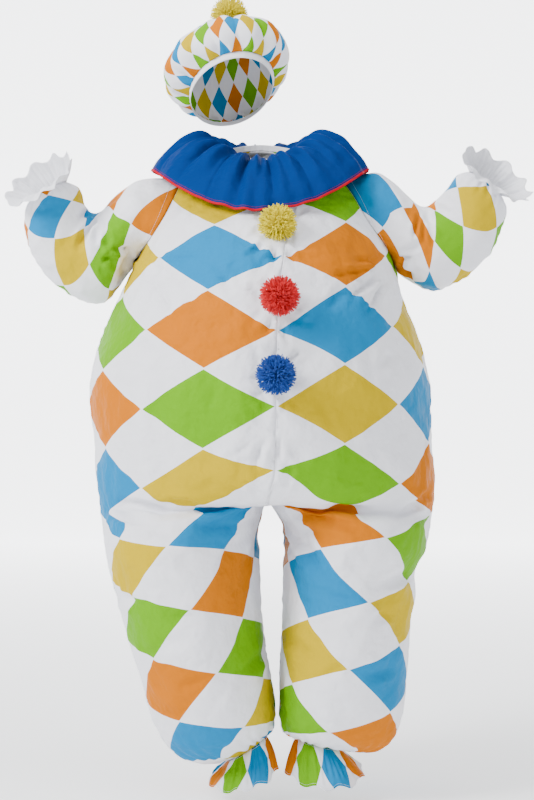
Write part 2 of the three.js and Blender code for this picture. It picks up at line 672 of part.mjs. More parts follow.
function solidGeometry(solid) {
  const mesh = solid.getMesh();
  const points = [];
  for (let i = 0; i < mesh.vertProperties.length; i += mesh.numProp) {
    points.push(mesh.vertProperties[i], mesh.vertProperties[i + 1], mesh.vertProperties[i + 2]);
  }
  return closedGeometry(points, Array.from(mesh.triVerts));
}

/** Places a solid made about the slider: x across, y down the zip, z away from the cloth. */
function onZip(solid, row, lift) {
  const point = torsoPoint(Math.PI, row);
  const normal = torsoNormal(Math.PI, row);
  normal.x = 0;
  normal.normalize();
  const place = new THREE.Matrix4().makeBasis(
    new THREE.Vector3(1, 0, 0),
    new THREE.Vector3(0, normal.z, -normal.y),
    normal,
  );
  place.setPosition(point.addScaledVector(normal, lift));
  return solid.transform(place.elements);
}

const ZIP = { top: 4.3, bottom: 13.2, half: 4, thick: 2.2 };
const SLIDER = { row: 4.55, wide: 12, long: 15, high: 4.4, lug: 1.3, lugGap: 5.6, pinUp: 6.6, pin: 0.9 };
const TAB = { wide: 5, long: 32, thick: 1.6, eye: 2.2, hole: 1.3, plate: 9 };

function sliderSolid() {
  const body = Manifold.cube([SLIDER.wide, SLIDER.long, SLIDER.high], true)
    .translate([0, 0, SLIDER.high / 2]);
  const lugX = SLIDER.lugGap / 2 + SLIDER.lug / 2;
  const lug = Manifold.cube([SLIDER.lug, 5, 5], true).translate([lugX, 0, SLIDER.pinUp - 0.4]);
  const pin = Manifold.cylinder(SLIDER.lugGap + 1, SLIDER.pin, SLIDER.pin, 10, true)
    .rotate([0, 90, 0]).translate([0, 0, SLIDER.pinUp]);
  return Manifold.union([body, lug, lug.mirror([1, 0, 0]), pin]);
}

function tabSolid() {
  const eye = Manifold.cylinder(TAB.wide, TAB.eye, TAB.eye, 12, true).rotate([0, 90, 0]);
  const neck = Manifold.cube([TAB.wide, 9, TAB.thick], true).translate([0, 5.5, 0]);
  const plate = Manifold.cube([TAB.plate, TAB.long - 8, TAB.thick], true)
    .translate([0, TAB.long / 2 + 4, 0]);
  const hole = Manifold.cylinder(TAB.wide + 2, TAB.hole, TAB.hole, 12, true).rotate([0, 90, 0]);
  return Manifold.union([eye, neck, plate]).subtract(hole).translate([0, 0, SLIDER.pinUp]);
}

// Air inlet at the back: a round guard with ring-shaped closed louvres
const INLET = { angle: -150 * Math.PI / 180, row: 11.3, rowHeight: 66 };
const INLET_PROFILE = [
  { radius: 54, height: 2.5 },
  { radius: 51, height: 6 },
  { radius: 44, height: 6 },
  { radius: 42, height: 3.5 },
  { radius: 36, height: 3.5 },
  { radius: 34, height: 6 },
  { radius: 27, height: 6 },
  { radius: 25, height: 3.5 },
  { radius: 18, height: 3.5 },
  { radius: 16, height: 6 },
];

function inletGeometry() {
  const around = 24;
  const place = (radius, height, turn) => {
    const angle = INLET.angle + radius * Math.cos(turn) / smooth(TORSO, 'half', INLET.row);
    const row = INLET.row + radius * Math.sin(turn) / INLET.rowHeight;
    return torsoPoint(angle, row).addScaledVector(torsoNormal(angle, row), height);
  };
  const ring = (radius, height) => {
    const line = [];
    for (let c = 0; c < around; c += 1) line.push(place(radius, height, 2 * Math.PI * c / around));
    return line;
  };
  const outer = INLET_PROFILE.map((step) => ring(step.radius, step.height + LIFT));
  outer.push(ring(0, 6 + LIFT));
  const inner = [INLET_PROFILE[0].radius, 36, 18, 0].map((radius) => ring(radius, LIFT));
  return capGeometry(outer, inner);
}

/** Closed body from an upper and a lower grid that both end in a point. */
function capGeometry(upper, lower) {
  const points = [];
  const faces = [];
  const add = (p) => points.push(p.x, p.y, p.z) / 3 - 1;
  const join = (grid, flip) => {
    const ids = grid.map((line, r) => (r === grid.length - 1 ? [add(line[0])] : line.map(add)));
    for (let r = 0; r < grid.length - 1; r += 1) {
      for (let c = 0; c < grid[0].length; c += 1) {
        const n = (c + 1) % grid[0].length;
        const quad = r === grid.length - 2
          ? [[ids[r][c], ids[r][n], ids[r + 1][0]]]
          : [[ids[r][c], ids[r][n], ids[r + 1][n]], [ids[r][c], ids[r + 1][n], ids[r + 1][c]]];
        quad.forEach(([a, b, d]) => faces.push(...(flip ? [a, d, b] : [a, b, d])));
      }
    }
    return ids[0];
  };
  const high = join(upper, false);
  const low = join(lower, true);
  for (let c = 0; c < high.length; c += 1) {
    const n = (c + 1) % high.length;
    faces.push(high[n], high[c], low[c], high[n], low[c], low[n]);
  }
  return closedGeometry(points, faces);
}

// Assembly
const group = new THREE.Group();
group.name = 'inflatable_clown_costume';

group.add(cloth('front_left', panelGeometry(1, 1), WHITE));
group.add(cloth('front_right', panelGeometry(-1, 1), WHITE));
group.add(cloth('back_left', panelGeometry(1, -1), WHITE));
group.add(cloth('back_right', panelGeometry(-1, -1), WHITE));
group.add(cloth('sleeve_left', sleeveGeometry(1), WHITE));
group.add(cloth('sleeve_right', sleeveGeometry(-1), WHITE));
for (const [name, flare] of Object.entries(FLARES)) {
  group.add(cloth(name, flareGeometry(flare), WHITE, 0.6));
}

const ruff = ruffGrid();
group.add(cloth('ruff', offsetWall(ruff.grid, ruff.normals, FRILL_WALL, true), BLUE));
const rim = RUFF.length - 1;
const rimUps = ruff.normals[rim];
const rimEdge = ruff.grid[rim].map((p, c) => p.clone().addScaledVector(rimUps[c], -FRILL_WALL / 2));
const rimOut = ruff.grid[rim].map((p, c) => {
  const turn = 2 * Math.PI * c / (RUFF_GATHERS * 4);
  return ruffPoint(turn, rim).sub(ruffPoint(turn, rim - 0.1)).normalize();
});
group.add(cloth('ruff_binding', bindingGeometry(rimEdge, rimOut, rimUps), RED));
group.add(cloth('neck_band', neckBandGeometry(), WHITE));

group.add(cloth('hat_crown', hatGeometry(), WHITE));
group.add(cloth('hat_band', hatBandGeometry(), WHITE));

const POMPOMS = {
  pompom_yellow: { row: 5.45, colour: 0xffe500, seed: 3 },
  pompom_red: { row: 8.15, colour: 0xd81b22, seed: 101 },
  pompom_blue: { row: 10.7, colour: 0x1568bd, seed: 211 },
};
for (const [name, pompom] of Object.entries(POMPOMS)) {
  const angle = smooth(TORSO, 'turn', pompom.row) * Math.PI / 180;
  const base = torsoPoint(angle, pompom.row);
  const axis = torsoNormal(angle, pompom.row);
  group.add(cloth(name, pompomGeometry(base, axis, pompom.seed), pompom.colour, 0.9));
}
const hatTop = new THREE.Vector3(...HAT_TOP);
const hatAxis = new THREE.Vector3(...HAT_AXIS).normalize();
group.add(cloth('pompom_hat', pompomGeometry(hatTop, hatAxis, 307), 0xffe500, 0.9));

group.add(cloth('zip_chain', zipStrip(ZIP.top, ZIP.bottom, ZIP.half, ZIP.thick), WHITE, 0.4));
const onSlider = (solid) => solidGeometry(onZip(solid, SLIDER.row, LIFT + ZIP.thick + SEAM));
group.add(cloth('zip_slider', onSlider(sliderSolid()), GREY, 0.35, 0.8));
group.add(cloth('zip_pull_tab', onSlider(tabSolid()), GREY, 0.35, 0.8));
group.add(cloth('air_inlet_guard', inletGeometry(), GREY, 0.5));

export default group;
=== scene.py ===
"""Looks of the inflatable clown costume: printed cloth, ruff, pompoms, hat, zip and sewing."""

import logging
import math
from dataclasses import dataclass, field
from enum import Enum
from typing import Sequence

import bmesh
import bpy
import numpy as np
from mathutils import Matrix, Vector


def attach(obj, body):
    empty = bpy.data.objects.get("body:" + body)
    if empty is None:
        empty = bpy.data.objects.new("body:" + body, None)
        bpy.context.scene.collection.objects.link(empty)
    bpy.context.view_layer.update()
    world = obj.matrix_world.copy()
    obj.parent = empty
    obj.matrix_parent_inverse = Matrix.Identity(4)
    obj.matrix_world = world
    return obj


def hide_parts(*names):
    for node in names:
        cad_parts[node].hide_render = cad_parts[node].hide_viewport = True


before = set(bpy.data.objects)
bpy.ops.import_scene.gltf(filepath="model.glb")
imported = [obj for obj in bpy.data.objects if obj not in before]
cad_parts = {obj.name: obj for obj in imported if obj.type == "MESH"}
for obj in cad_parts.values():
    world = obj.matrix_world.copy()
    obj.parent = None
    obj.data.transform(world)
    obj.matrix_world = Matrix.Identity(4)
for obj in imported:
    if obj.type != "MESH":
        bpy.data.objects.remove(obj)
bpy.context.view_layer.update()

logging.basicConfig(level=logging.INFO, format="%(message)s")
log = logging.getLogger("costume")

Array = np.ndarray
Piece = bpy.types.Object
Material = bpy.types.Material
Tree = bpy.types.NodeTree
Node = bpy.types.Node
Socket = bpy.types.NodeSocket
Triple = tuple[float, float, float]
Table = dict[str, Array]
Line = tuple[Array, Array, bool]

BODY = "costume"
MM = 0.001


class Side(Enum):
    """Side of the costume, as it is worn."""

    LEFT = 1
    RIGHT = -1


class Face(Enum):
    """Front or back of the suit."""

    FRONT = 1
    BACK = -1


def table(names: str, *rows: Sequence[float]) -> Table:
    """Table whose columns have the given names, with spaces between them."""
    columns = np.array(rows, dtype=float).T
    return dict(zip(names.split(), columns))


TORSO = table(
    "z middle half front back z_front z_back turn",
    (8, 0, 80, 80, 76, -27, 25, 0),
    (-12, 0, 122, 112, 116, -44, -4, 2),
    (-36, 2, 160, 146, 156, -64, -34, 4),
    (-64, 6, 195, 178, 190, -88, -66, 6),
    (-102, 10, 226, 210, 224, -118, -104, 8),
    (-150, 11, 252, 244, 262, -160, -152, 9),
    (-205, 12, 279, 282, 298, -210, -206, 9),
    (-262, 8, 300, 320, 326, -264, -262, 8),
    (-327, 2, 325, 349, 342, -327, -327, 7),
    (-396, 1, 355, 368, 360, -396, -396, 6),
    (-456, -2, 374, 378, 370, -456, -456, 6),
    (-522, -1, 389, 385, 376, -522, -522, 5),
    (-590, 2, 389, 386, 378, -590, -590, 5),
    (-655, 6, 386, 381, 374, -655, -655, 4),
    (-715, 13, 388, 369, 363, -712, -715, 3),
    (-765, 16, 386, 348, 346, -752, -765, 1),
    (-800, 17, 383, 318, 322, -775, -798, 0),
    (-822, 17, 380, 292, 298, -790, -818, 0),
    (-850, 16, 376, 284, 284, -812, -842, 0),
    (-900, 11, 365, 262, 262, -862, -880, 0),
)
LEG_COLUMNS = "outer inner front back y z rise"
LEGS = {
    Side.RIGHT: table(
        LEG_COLUMNS,
        (-365, 16, 304, 306, 0, -800, 6),
        (-363, 16, 294, 296, 0, -822, 34),
        (-360, 14, 294, 290, 0, -850, 62),
        (-355, -5, 290, 280, 0, -900, 48),
        (-345, -3, 275, 266, 0, -948, 26),
        (-330, -1, 260, 256, 0, -1000, 10),
        (-313, 4, 243, 243, 0, -1058, 0),
        (-294, 13, 224, 226, 0, -1132, 0),
        (-274, 27, 206, 208, 0, -1196, 0),
        (-259, 35, 190, 192, 0, -1250, 8),
        (-244, 36, 172, 174, 2, -1298, 24),
        (-219, 34, 146, 148, 4, -1344, 46),
        (-182, 30, 114, 114, 6, -1374, 62),
        (-130, 24, 80, 78, 8, -1388, 66),
        (-74, 16, 50, 50, 8, -1385, 56),
    ),
    Side.LEFT: table(
        LEG_COLUMNS,
        (399, 16, 304, 306, 0, -800, 6),
        (396, 16, 294, 296, 0, -822, 34),
        (392, 20, 294, 290, 0, -850, 62),
        (378, 51, 290, 280, 0, -900, 48),
        (354, 53, 275, 266, 0, -948, 26),
        (355, 55, 260, 256, 0, -1000, 10),
        (345, 54, 243, 243, 0, -1058, 0),
        (340, 47, 224, 226, 0, -1132, 0),
        (334, 43, 206, 208, 0, -1196, 0),
        (331, 43, 190, 192, 0, -1250, 0),
        (322, 44, 172, 174, 2, -1294, 8),
        (308, 52, 146, 148, 4, -1330, 18),
        (280, 62, 114, 114, 6, -1354, 32),
        (228, 74, 80, 78, 8, -1363, 34),
        (182, 84, 50, 50, 8, -1356, 24),
    ),
}
SLEEVE_COLUMNS = "top_x top_z low_x low_z deep y print"
SLEEVES = {
    Side.RIGHT: table(
        SLEEVE_COLUMNS,
        (-236, -45, -270, -228, 105, 0, 1.2),
        (-283, -51, -304, -262, 105, 0, 2.1),
        (-317, -76, -332, -304, 108, 0, 2.7),
        (-343, -98, -361, -333, 105, 0, 3.4),
        (-361, -118, -398, -333, 100, -3, 4.0),
        (-377, -128, -437, -312, 92, -8, 4.8),
        (-389, -124, -478, -279, 85, -15, 5.5),
        (-397, -115, -510, -240, 80, -25, 6.1),
        (-402, -103, -528, -201, 76, -35, 6.7),
        (-405, -90, -536, -163, 70, -45, 7.2),
        (-415, -74, -533, -130, 62, -55, 7.8),
        (-439, -63, -514, -103, 43, -66, 8.5),
    ),
    Side.LEFT: table(
        SLEEVE_COLUMNS,
        (232, -38, 296, -232, 105, 0, -1.3),
        (271, -34, 320, -265, 105, 0, -0.6),
        (306, -56, 350, -285, 108, 0, -0.05),
        (336, -84, 378, -301, 105, 0, 0.5),
        (360, -106, 411, -304, 100, -3, 1.7),
        (379, -111, 444, -289, 92, -8, 2.55),
        (395, -103, 478, -270, 87, -15, 3.35),
        (410, -88, 511, -243, 83, -24, 4.1),
        (425, -73, 536, -208, 78, -34, 4.7),
        (436, -58, 554, -165, 71, -46, 5.2),
        (450, -46, 560, -127, 62, -57, 5.8),
        (476, -42, 544, -94, 43, -66, 6.3),
    ),
}
RUFF = table(
    "front side back z_front z_side z_back wave",
    (79.4, 79.4, 75.4, -19, 15, 31, 0),
    (104, 104, 100, -14, 36, 36, 6),
    (138, 136, 134, -22, 50, 40, 12),
    (174, 172, 170, -44, 42, 33, 10),
    (208, 206, 204, -78, 20, 17, 6),
    (236, 232, 228, -112, -6, -2, 3),
    (254, 246, 242, -142, -28, -20, 1.5),
)
HAT = table(
    "x y z half length tilt wave",
    (-65, -2, 162, 100, 110, 36, 0),
    (-66, 1, 170, 116, 122, 33, 5),
    (-71, 6, 184, 136, 136, 30, 4),
    (-77, 10, 206, 146, 139, 27, 3),
    (-80, 14, 234, 139, 132, 24, 3),
    (-80, 18, 263, 119, 113, 21, 3),
    (-77, 21, 286, 88, 84, 18, 4),
    (-73, 22, 301, 50, 48, 16, 3),
    (-71, 23, 307, 0, 0, 16, 0),
)
CROTCH_ROW, CROTCH_ROWS, LAST_ROW = 16.0, 2.0, 30.0
ARMHOLE_ROW, ARMHOLE_ROWS, ARMHOLE_ANGLE = 4.45, 1.95, math.radians(25)
SEAM_GAP, INSEAM_GAP, LEG_RADIUS = 0.06, 0.2, 180
ARMHOLE_LIFT = 0.6
CORE_DROP, CORE_TOP = 60, -120
TANGENT_STEP = 0.01
HAT_ROLL = math.radians(12)


def smooth(rows: Table, name: str, at: Array) -> Array:
    """Smooth value of a column at rows that may lie between two rows.

    Args:
        rows: Table with named columns.
        name: Name of the column.
        at: Places down the table, counted from 0.

    Returns:
        The value at each place.
    """
    column = rows[name]
    last = len(column) - 1
    padded = np.concatenate(([2 * column[0] - column[1]], column, [2 * column[-1] - column[-2]]))
    at = np.asarray(at, dtype=float)
    index = np.clip(np.floor(at).astype(int), 0, last - 1)
    part = at - index
    before, a, b, after = (padded[index + k] for k in range(4))
    bend = 2 * before - 5 * a + 4 * b - after + part * (3 * (a - b) + after - before)
    return a + 0.5 * part * (b - before + part * bend)


def ease(value: Array) -> Array:
    """Smooth step from 0 to 1."""
    v = np.clip(value, 0.0, 1.0)
    return v * v * (3 - 2 * v)


def mix(a: Array, b: Array, share: Array) -> Array:
    """Value between a and b."""
    return a + (b - a) * share


def unit(v: Array) -> Array:
    """Vectors of length one."""
    return v / np.maximum(np.linalg.norm(v, axis=-1, keepdims=True), 1e-12)


def stack(x: Array, y: Array, z: Array) -> Array:
    """Points from their coordinates."""
    return np.stack(np.broadcast_arrays(x, y, z), axis=-1)


def grid(down: Array, across: Array) -> list[Array]:
    """Both coordinates of each point of a grid."""
    return np.meshgrid(down, across, indexing="ij")


def ring(columns: int, closed: bool = False) -> Array:
    """Angles round a ring, and the full turn too where it is closed."""
    return np.arange(columns + closed) / columns * 2 * math.pi


def repeated(point: Triple, points: Array) -> Array:
    """One point repeated for each point of a grid."""
    return np.broadcast_to(np.array(point), points.shape)


def waves(points: Array, length: float, seed: int) -> Array:
    """Soft uneven field of about -1 to 1.

    Args:
        points: Points in millimetres.
        length: Typical length of a wave.
        seed: Seed of its directions and phases.

    Returns:
        The value at each point.
    """
    rng = np.random.default_rng(seed)
    terms = 7
    out = np.zeros(points.shape[:-1])
    for _ in range(terms):
        direction = unit(rng.normal(size=3))
        k = 2 * math.pi / (length * rng.uniform(0.7, 1.6))
        out += np.sin(points @ direction * k + rng.uniform(0, 2 * math.pi))
    return out / math.sqrt(terms)


def arc(points: Array, axis: int) -> Array:
    """Length along a grid of points.

    Args:
        points: Grid of points.
        axis: 0 to measure down the rows, 1 across the columns.

    Returns:
        The length at each point, from the first row or column.
    """
    steps = np.linalg.norm(np.diff(points, axis=axis), axis=-1)
    zero = np.zeros_like(np.take(steps, [0], axis=axis))
    return np.concatenate((zero, np.cumsum(steps, axis=axis)), axis=axis)


# Form of the suit, in millimetres


def torso_point(angle: Array, row: Array) -> Array:
    """Points of the torso.

    Args:
        angle: Angle from the front towards the left side.
        row: Row of TORSO.

    Returns:
        The points.
    """
    across, along = np.sin(angle), np.cos(angle)
    front = along > 0
    z = smooth(TORSO, "z", row)
    z_end = np.where(front, smooth(TORSO, "z_front", row), smooth(TORSO, "z_back", row))
    depth = np.where(front, smooth(TORSO, "front", row), smooth(TORSO, "back", row))
    x = smooth(TORSO, "middle", row) + smooth(TORSO, "half", row) * across
    return stack(x, -depth * along, z + (z_end - z) * along**2)


def leg_point(side: Side, face: Face, turn: Array, row: Array) -> Array:
    """Points of a leg.

    Args:
        side: Left or right.
        face: Front or back half of the leg.
        turn: 0 on the inner line to pi on the outer line.
        row: Row counted down from the neck.

    Returns:
        The points.
    """
    leg = LEGS[side]
    at = row - CROTCH_ROW
    inner, outer = smooth(leg, "inner", at) + side.value * INSEAM_GAP, smooth(leg, "outer", at)
    deep = smooth(leg, "front" if face is Face.FRONT else "back", at)
    lift = np.cos(np.clip(turn, 0, math.pi) / 2) ** 2
    x = (inner + outer) / 2 + (inner - outer) / 2 * np.cos(turn)
    y = smooth(leg, "y", at) - face.value * deep * np.sin(turn)
    return stack(x, y, smooth(leg, "z", at) + smooth(leg, "rise", at) * lift)


def armhole_angle(row: Array) -> Array:
    """Half angle of the armhole at a row."""
    return ARMHOLE_ANGLE * np.sqrt(np.clip(1 - ((row - ARMHOLE_ROW) / ARMHOLE_ROWS) ** 2, 0, None))


def panel_angle(side: Side, face: Face, u: Array, row: Array) -> Array:
    """Angle on the torso for a place across a panel.

    Args:
        side: Left or right.
        face: Front or back.
        u: 0 at the centre seam to 1 at the side.
        row: Row of TORSO.

    Returns:
        The angle from the front.
    """
    turn = np.radians(smooth(TORSO, "turn", row)) if face is Face.FRONT else 0.0
    gap = SEAM_GAP / smooth(TORSO, "half", row)
    seam = math.pi / 2 - np.maximum(armhole_angle(row), gap)
    if face is Face.FRONT:
        return mix(turn + side.value * gap, side.value * seam, u)
    return side.value * (math.pi - mix(gap, seam, u))


def panel_point(side: Side, face: Face, u: Array, row: Array) -> Array:
    """Points of a panel, torso and leg in one.

    Args:
        side: Left or right.
        face: Front or back.
        u: 0 at the centre seam or the inseam to 1 at the side.
        row: Row from the neck to the ankle.

    Returns:
        The points.
    """
    share = ease((row - CROTCH_ROW) / CROTCH_ROWS)[..., None]
    torso = torso_point(panel_angle(side, face, u, row), row)
    gap = SEAM_GAP / LEG_RADIUS
    leg = leg_point(side, face, mix(gap, math.pi - gap, u), row)
    return mix(torso, leg, share)


def core_height(row: Array) -> Array:
    """Height of a point well inside the torso on each row."""
    return np.minimum(smooth(TORSO, "z", row) - CORE_DROP, CORE_TOP)


def torso_normal(angle: Array, row: Array) -> Array:
    """Outward direction on the torso.

    Args:
        angle: Angle from the front towards the left side.
        row: Row of TORSO.

    Returns:
        Directions of length one.
    """
    step = TANGENT_STEP
    along = torso_point(angle + step, row) - torso_point(angle - step, row)
    down = torso_point(angle, row + step) - torso_point(angle, row - step)
    normal = unit(np.cross(along, down))
    inside = stack(smooth(TORSO, "middle", row), 0.0, core_height(row))
    flip = np.sum(normal * (torso_point(angle, row) - inside), axis=-1, keepdims=True) < 0
    return np.where(flip, -normal, normal)


def armhole_point(side: Side, turn: Array) -> Array:
    """Points of the armhole edge.

    Args:
        side: Left or right.
        turn: Angle from the top of the hole round its front.

    Returns:
        The points.
    """
    angle = side.value * (math.pi / 2 - ARMHOLE_ANGLE * np.sin(turn))
    row = ARMHOLE_ROW - ARMHOLE_ROWS * np.cos(turn)
    return torso_point(angle, row) + torso_normal(angle, row) * ARMHOLE_LIFT


def sleeve_section(side: Side, turn: Array, row: Array) -> Array:
    """Points of a sleeve without its start at the armhole.

    Args:
        side: Left or right.
        turn: Angle from the top of the sleeve round its front.
        row: Row of SLEEVES.

    Returns:
        The points.
    """
    rows = SLEEVES[side]
    y = smooth(rows, "y", row)
    top = stack(smooth(rows, "top_x", row), y, smooth(rows, "top_z", row))
    low = stack(smooth(rows, "low_x", row), y, smooth(rows, "low_z", row))
    section = (top + low) / 2 + (top - low) / 2 * np.cos(turn)[..., None]
    section[..., 1] -= smooth(rows, "deep", row) * np.sin(turn)
    return section


def sleeve_point(side: Side, turn: Array, row: Array) -> Array:
    """Points of a sleeve, which starts on the armhole edge.

    Args:
        side: Left or right.
        turn: Angle from the top of the sleeve round its front.
        row: Row of SLEEVES.

    Returns:
        The points.
    """
    start = armhole_point(side, turn) - sleeve_section(side, turn, np.zeros_like(row))
    share = np.clip(1 - row, 0, 1)[..., None] ** 2
    return sleeve_section(side, turn, row) + start * share


def ruff_point(turn: Array, row: Array) -> Array:
    """Points of the ruff without its gathers.

    Args:
        turn: Angle from the front.
        row: Row of RUFF, from the neck to the rim.

    Returns:
        The points.
    """
    along = np.cos(turn)
    front = along > 0
    share = along**2
    end = np.where(front, smooth(RUFF, "front", row), smooth(RUFF, "back", row))
    radius = mix(smooth(RUFF, "side", row), end, share)
    z_end = np.where(front, smooth(RUFF, "z_front", row), smooth(RUFF, "z_back", row))
    z = mix(smooth(RUFF, "z_side", row), z_end, share)
    return stack(radius * np.sin(turn), -radius * along, z)


def hat_point(turn: Array, row: Array) -> Array:
    """Points of the hat without its gathers.

    Args:
        turn: Angle from the front.
        row: Row of HAT, from the opening to the crown.

    Returns:
        The points.
    """
    tilt = np.radians(smooth(HAT, "tilt", row))
    front = stack(0.0, -np.cos(tilt), np.sin(tilt))
    sideways = np.array([math.cos(HAT_ROLL), 0.0, math.sin(HAT_ROLL)])
    middle = stack(smooth(HAT, "x", row), smooth(HAT, "y", row), smooth(HAT, "z", row))
    least = 0.02
    long = np.maximum(smooth(HAT, "length", row), least) * np.cos(turn)
    wide = np.maximum(smooth(HAT, "half", row), least) * np.sin(turn)
    return middle + front * long[..., None] + sideways * wide[..., None]


# Meshes


def link(name: str, mesh: bpy.types.Mesh) -> Piece:
    """Object of a mesh in the scene, at the origin.

    Args:
        name: Name of the object.
        mesh: Its mesh.

    Returns:
        The object.
    """
    thing = bpy.data.objects.new(name, mesh)
    bpy.context.scene.collection.objects.link(thing)
    return thing


def make_mesh(name: str, vertices: Array, faces: Array, corners: Array) -> Piece:
    """Object with outward faces, smooth shading and a print map.

    Args:
        name: Name of the object.
        vertices: Points in metres.
        faces: Four indices a face.
        corners: Print coordinates of each face's corners.

    Returns:
        The linked object.
    """
    tri = vertices[faces]
    volume = np.einsum("ij,ij->i", tri[:, 0], np.cross(tri[:, 1], tri[:, 2])).sum()
    volume += np.einsum("ij,ij->i", tri[:, 0], np.cross(tri[:, 2], tri[:, 3])).sum()
    if volume < 0:
        faces, corners = faces[:, ::-1], corners[:, ::-1]
    mesh = bpy.data.meshes.new(name)
    mesh.from_pydata(vertices.tolist(), [], faces.tolist())
    layer = mesh.uv_layers.new(name="print")
    layer.data.foreach_set("uv", np.ascontiguousarray(corners, dtype=np.float32).ravel())
    mesh.shade_smooth()
    return link(name, mesh)


def weld_points(thing: Piece) -> None:
    """Joins the points of a pole into one.

    Args:
        thing: Object whose mesh has the pole.
    """
    work = bmesh.new()
    work.from_mesh(thing.data)
    bmesh.ops.remove_doubles(work, verts=work.verts, dist=0.0001)
    work.to_mesh(thing.data)
    work.free()


def closed_tube(name: str, tube: Array) -> Piece:
    """Ring with a closed cross-section.

    Args:
        name: Name of the object.
        tube: Grid of points in millimetres that wraps both ways.

    Returns:
        The linked object.
    """
    count, sides = tube.shape[:2]
    i, j = (part.ravel() for part in grid(np.arange(count), np.arange(sides)))
    n, m = (i + 1) % count, (j + 1) % sides
    faces = np.stack((i * sides + j, n * sides + j, n * sides + m, i * sides + m), axis=1)
    steps = ((0, 0), (1, 0), (1, 1), (0, 1))
    corners = np.stack([np.stack((i + a, j + b), axis=1) for a, b in steps], axis=1)
    return make_mesh(name, tube.reshape(-1, 3) * MM, faces, corners / 10)


def grid_normals(points: Array, inside: Array, wrap: bool) -> Array:
    """Outward directions of a grid of points.

    Args:
        points: Grid of points.
        inside: Points that the directions lead away from.
        wrap: Whether the last column meets the first.

    Returns:
        Directions of length one.
    """
    if wrap:
        along = np.roll(points, -1, axis=1) - np.roll(points, 1, axis=1)
    else:
        along = np.gradient(points, axis=1)
    normal = unit(np.cross(along, np.gradient(points, axis=0)))
    outward = np.sum(normal * (points - inside), axis=-1)
    return normal if np.median(outward) > 0 else -normal


@dataclass
class Shell:
    """Thin closed wall on a grid of points.

    Attributes:
        points: Outer points in millimetres.
        normals: Outward direction at each.
        print_map: Print coordinates, with one column more than the grid where it wraps, none where plain.
        wall: Thickness in millimetres.
        wrap: Whether the last column meets the first.
    """

    points: Array
    normals: Array
    print_map: Array | None = None
    wall: float = 0.8
    wrap: bool = False

    def build(self, name: str) -> Piece:
        """Makes the wall.

        Args:
            name: Name of the object.

        Returns:
            The linked object, in metres, at the origin.
        """
        rows, columns = self.points.shape[:2]
        if self.print_map is None:
            self.print_map = np.zeros((rows, columns + 1, 2))
        inner = self.points - self.normals * self.wall
        vertices = np.concatenate((self.points.reshape(-1, 3), inner.reshape(-1, 3))) * MM
        r, c = (part.ravel() for part in grid(np.arange(rows - 1), np.arange(self._across())))
        n = (c + 1) % columns
        half = rows * columns
        here, below = r * columns, (r + 1) * columns
        outer = np.stack((here + c, here + n, below + n, below + c), axis=1)
        maps = np.stack([self.print_map[r + a, c + b] for a, b in ((0, 0), (0, 1), (1, 1), (1, 0))], axis=1)
        faces = [outer, outer[:, ::-1] + half]
        corners = [maps, maps[:, ::-1]]
        for (i, map_i), (j, map_j), flip in self._edges():
            rim = np.stack((j, i, i + half, j + half), axis=1)
            rim_map = np.stack((map_j, map_i, map_i, map_j), axis=1)
            faces.append(rim[:, ::-1] if flip else rim)
            corners.append(rim_map[:, ::-1] if flip else rim_map)
        return make_mesh(name, vertices, np.concatenate(faces), np.concatenate(corners))

    def _across(self) -> int:
        """Faces across the grid."""
        return self.points.shape[1] - (0 if self.wrap else 1)

    def _line(self, r: Array, c: Array) -> tuple[Array, Array]:
        """Indices of grid points and their print coordinates."""
        columns = self.points.shape[1]
        return r * columns + c % columns, self.print_map[r, c]

    def _edges(self) -> list[tuple]:
        """Open edges of the grid.

        Returns:
            For each edge, both ends of its lines with their print coordinates, and whether it is flipped.
        """
        rows, columns = self.points.shape[:2]
        c = np.arange(self._across())
        out = []
        for r, flip in ((0 * c, False), (0 * c + rows - 1, True)):
            out.append((self._line(r, c), self._line(r, c + 1), flip))
        if not self.wrap:
            r = np.arange(rows - 1)
            for c, flip in ((0 * r, True), (0 * r + columns - 1, False)):
                out.append((self._line(r, c), self._line(r + 1, c), flip))
        return out


# Creases


VIEW_DISTANCE, VIEW_HEIGHT = 4500.0, -557.0
POMPOM_PLACES = ((40, -176), (42, -338), (34, -504))


@dataclass(frozen=True)
class Crease:
    """Soft trough between two ridges, laid on the cloth as seen from the front or the back.

    Attributes:
        x0, z0, x1, z1: Ends in millimetres, in the plane of the neck.
        depth: Depth of the trough in millimetres.
        width: Half width of the trough in millimetres.
        bow: Sideways bend of its middle in millimetres.
        face: Side of the suit that carries it.
    """

    x0: float
    z0: float
    x1: float
    z1: float
    depth: float
    width: float
    bow: float
    face: Face = Face.FRONT

    def relief(self, points: Array, normals: Array) -> Array:
        """Height that the crease adds.

        Args:
            points: Points of the cloth in millimetres.
            normals: Outward direction at each.

        Returns:
            The height at each point.
        """
        scale = VIEW_DISTANCE / (VIEW_DISTANCE + self.face.value * points[..., 1])
        x = points[..., 0] * scale
        z = VIEW_HEIGHT + (points[..., 2] - VIEW_HEIGHT) * scale
        dx, dz = self.x1 - self.x0, self.z1 - self.z0
        length = max(math.hypot(dx, dz), 1.0)
        along = ((x - self.x0) * dx + (z - self.z0) * dz) / length**2
        bend = self.bow * (1 - (2 * along - 1) ** 2)
        off = ((x - self.x0) * -dz + (z - self.z0) * dx) / length - bend
        taper = ease(along / 0.3) * ease((1 - along) / 0.45)
        facing = ease((-self.face.value * normals[..., 1] + 0.15) / 0.3)
        near = (off / self.width) ** 2
        flank = np.exp(-((np.abs(off) / self.width - 1.7) ** 2) * 1.6)
        return self.depth * taper * facing * (0.45 * flank - np.exp(-near))


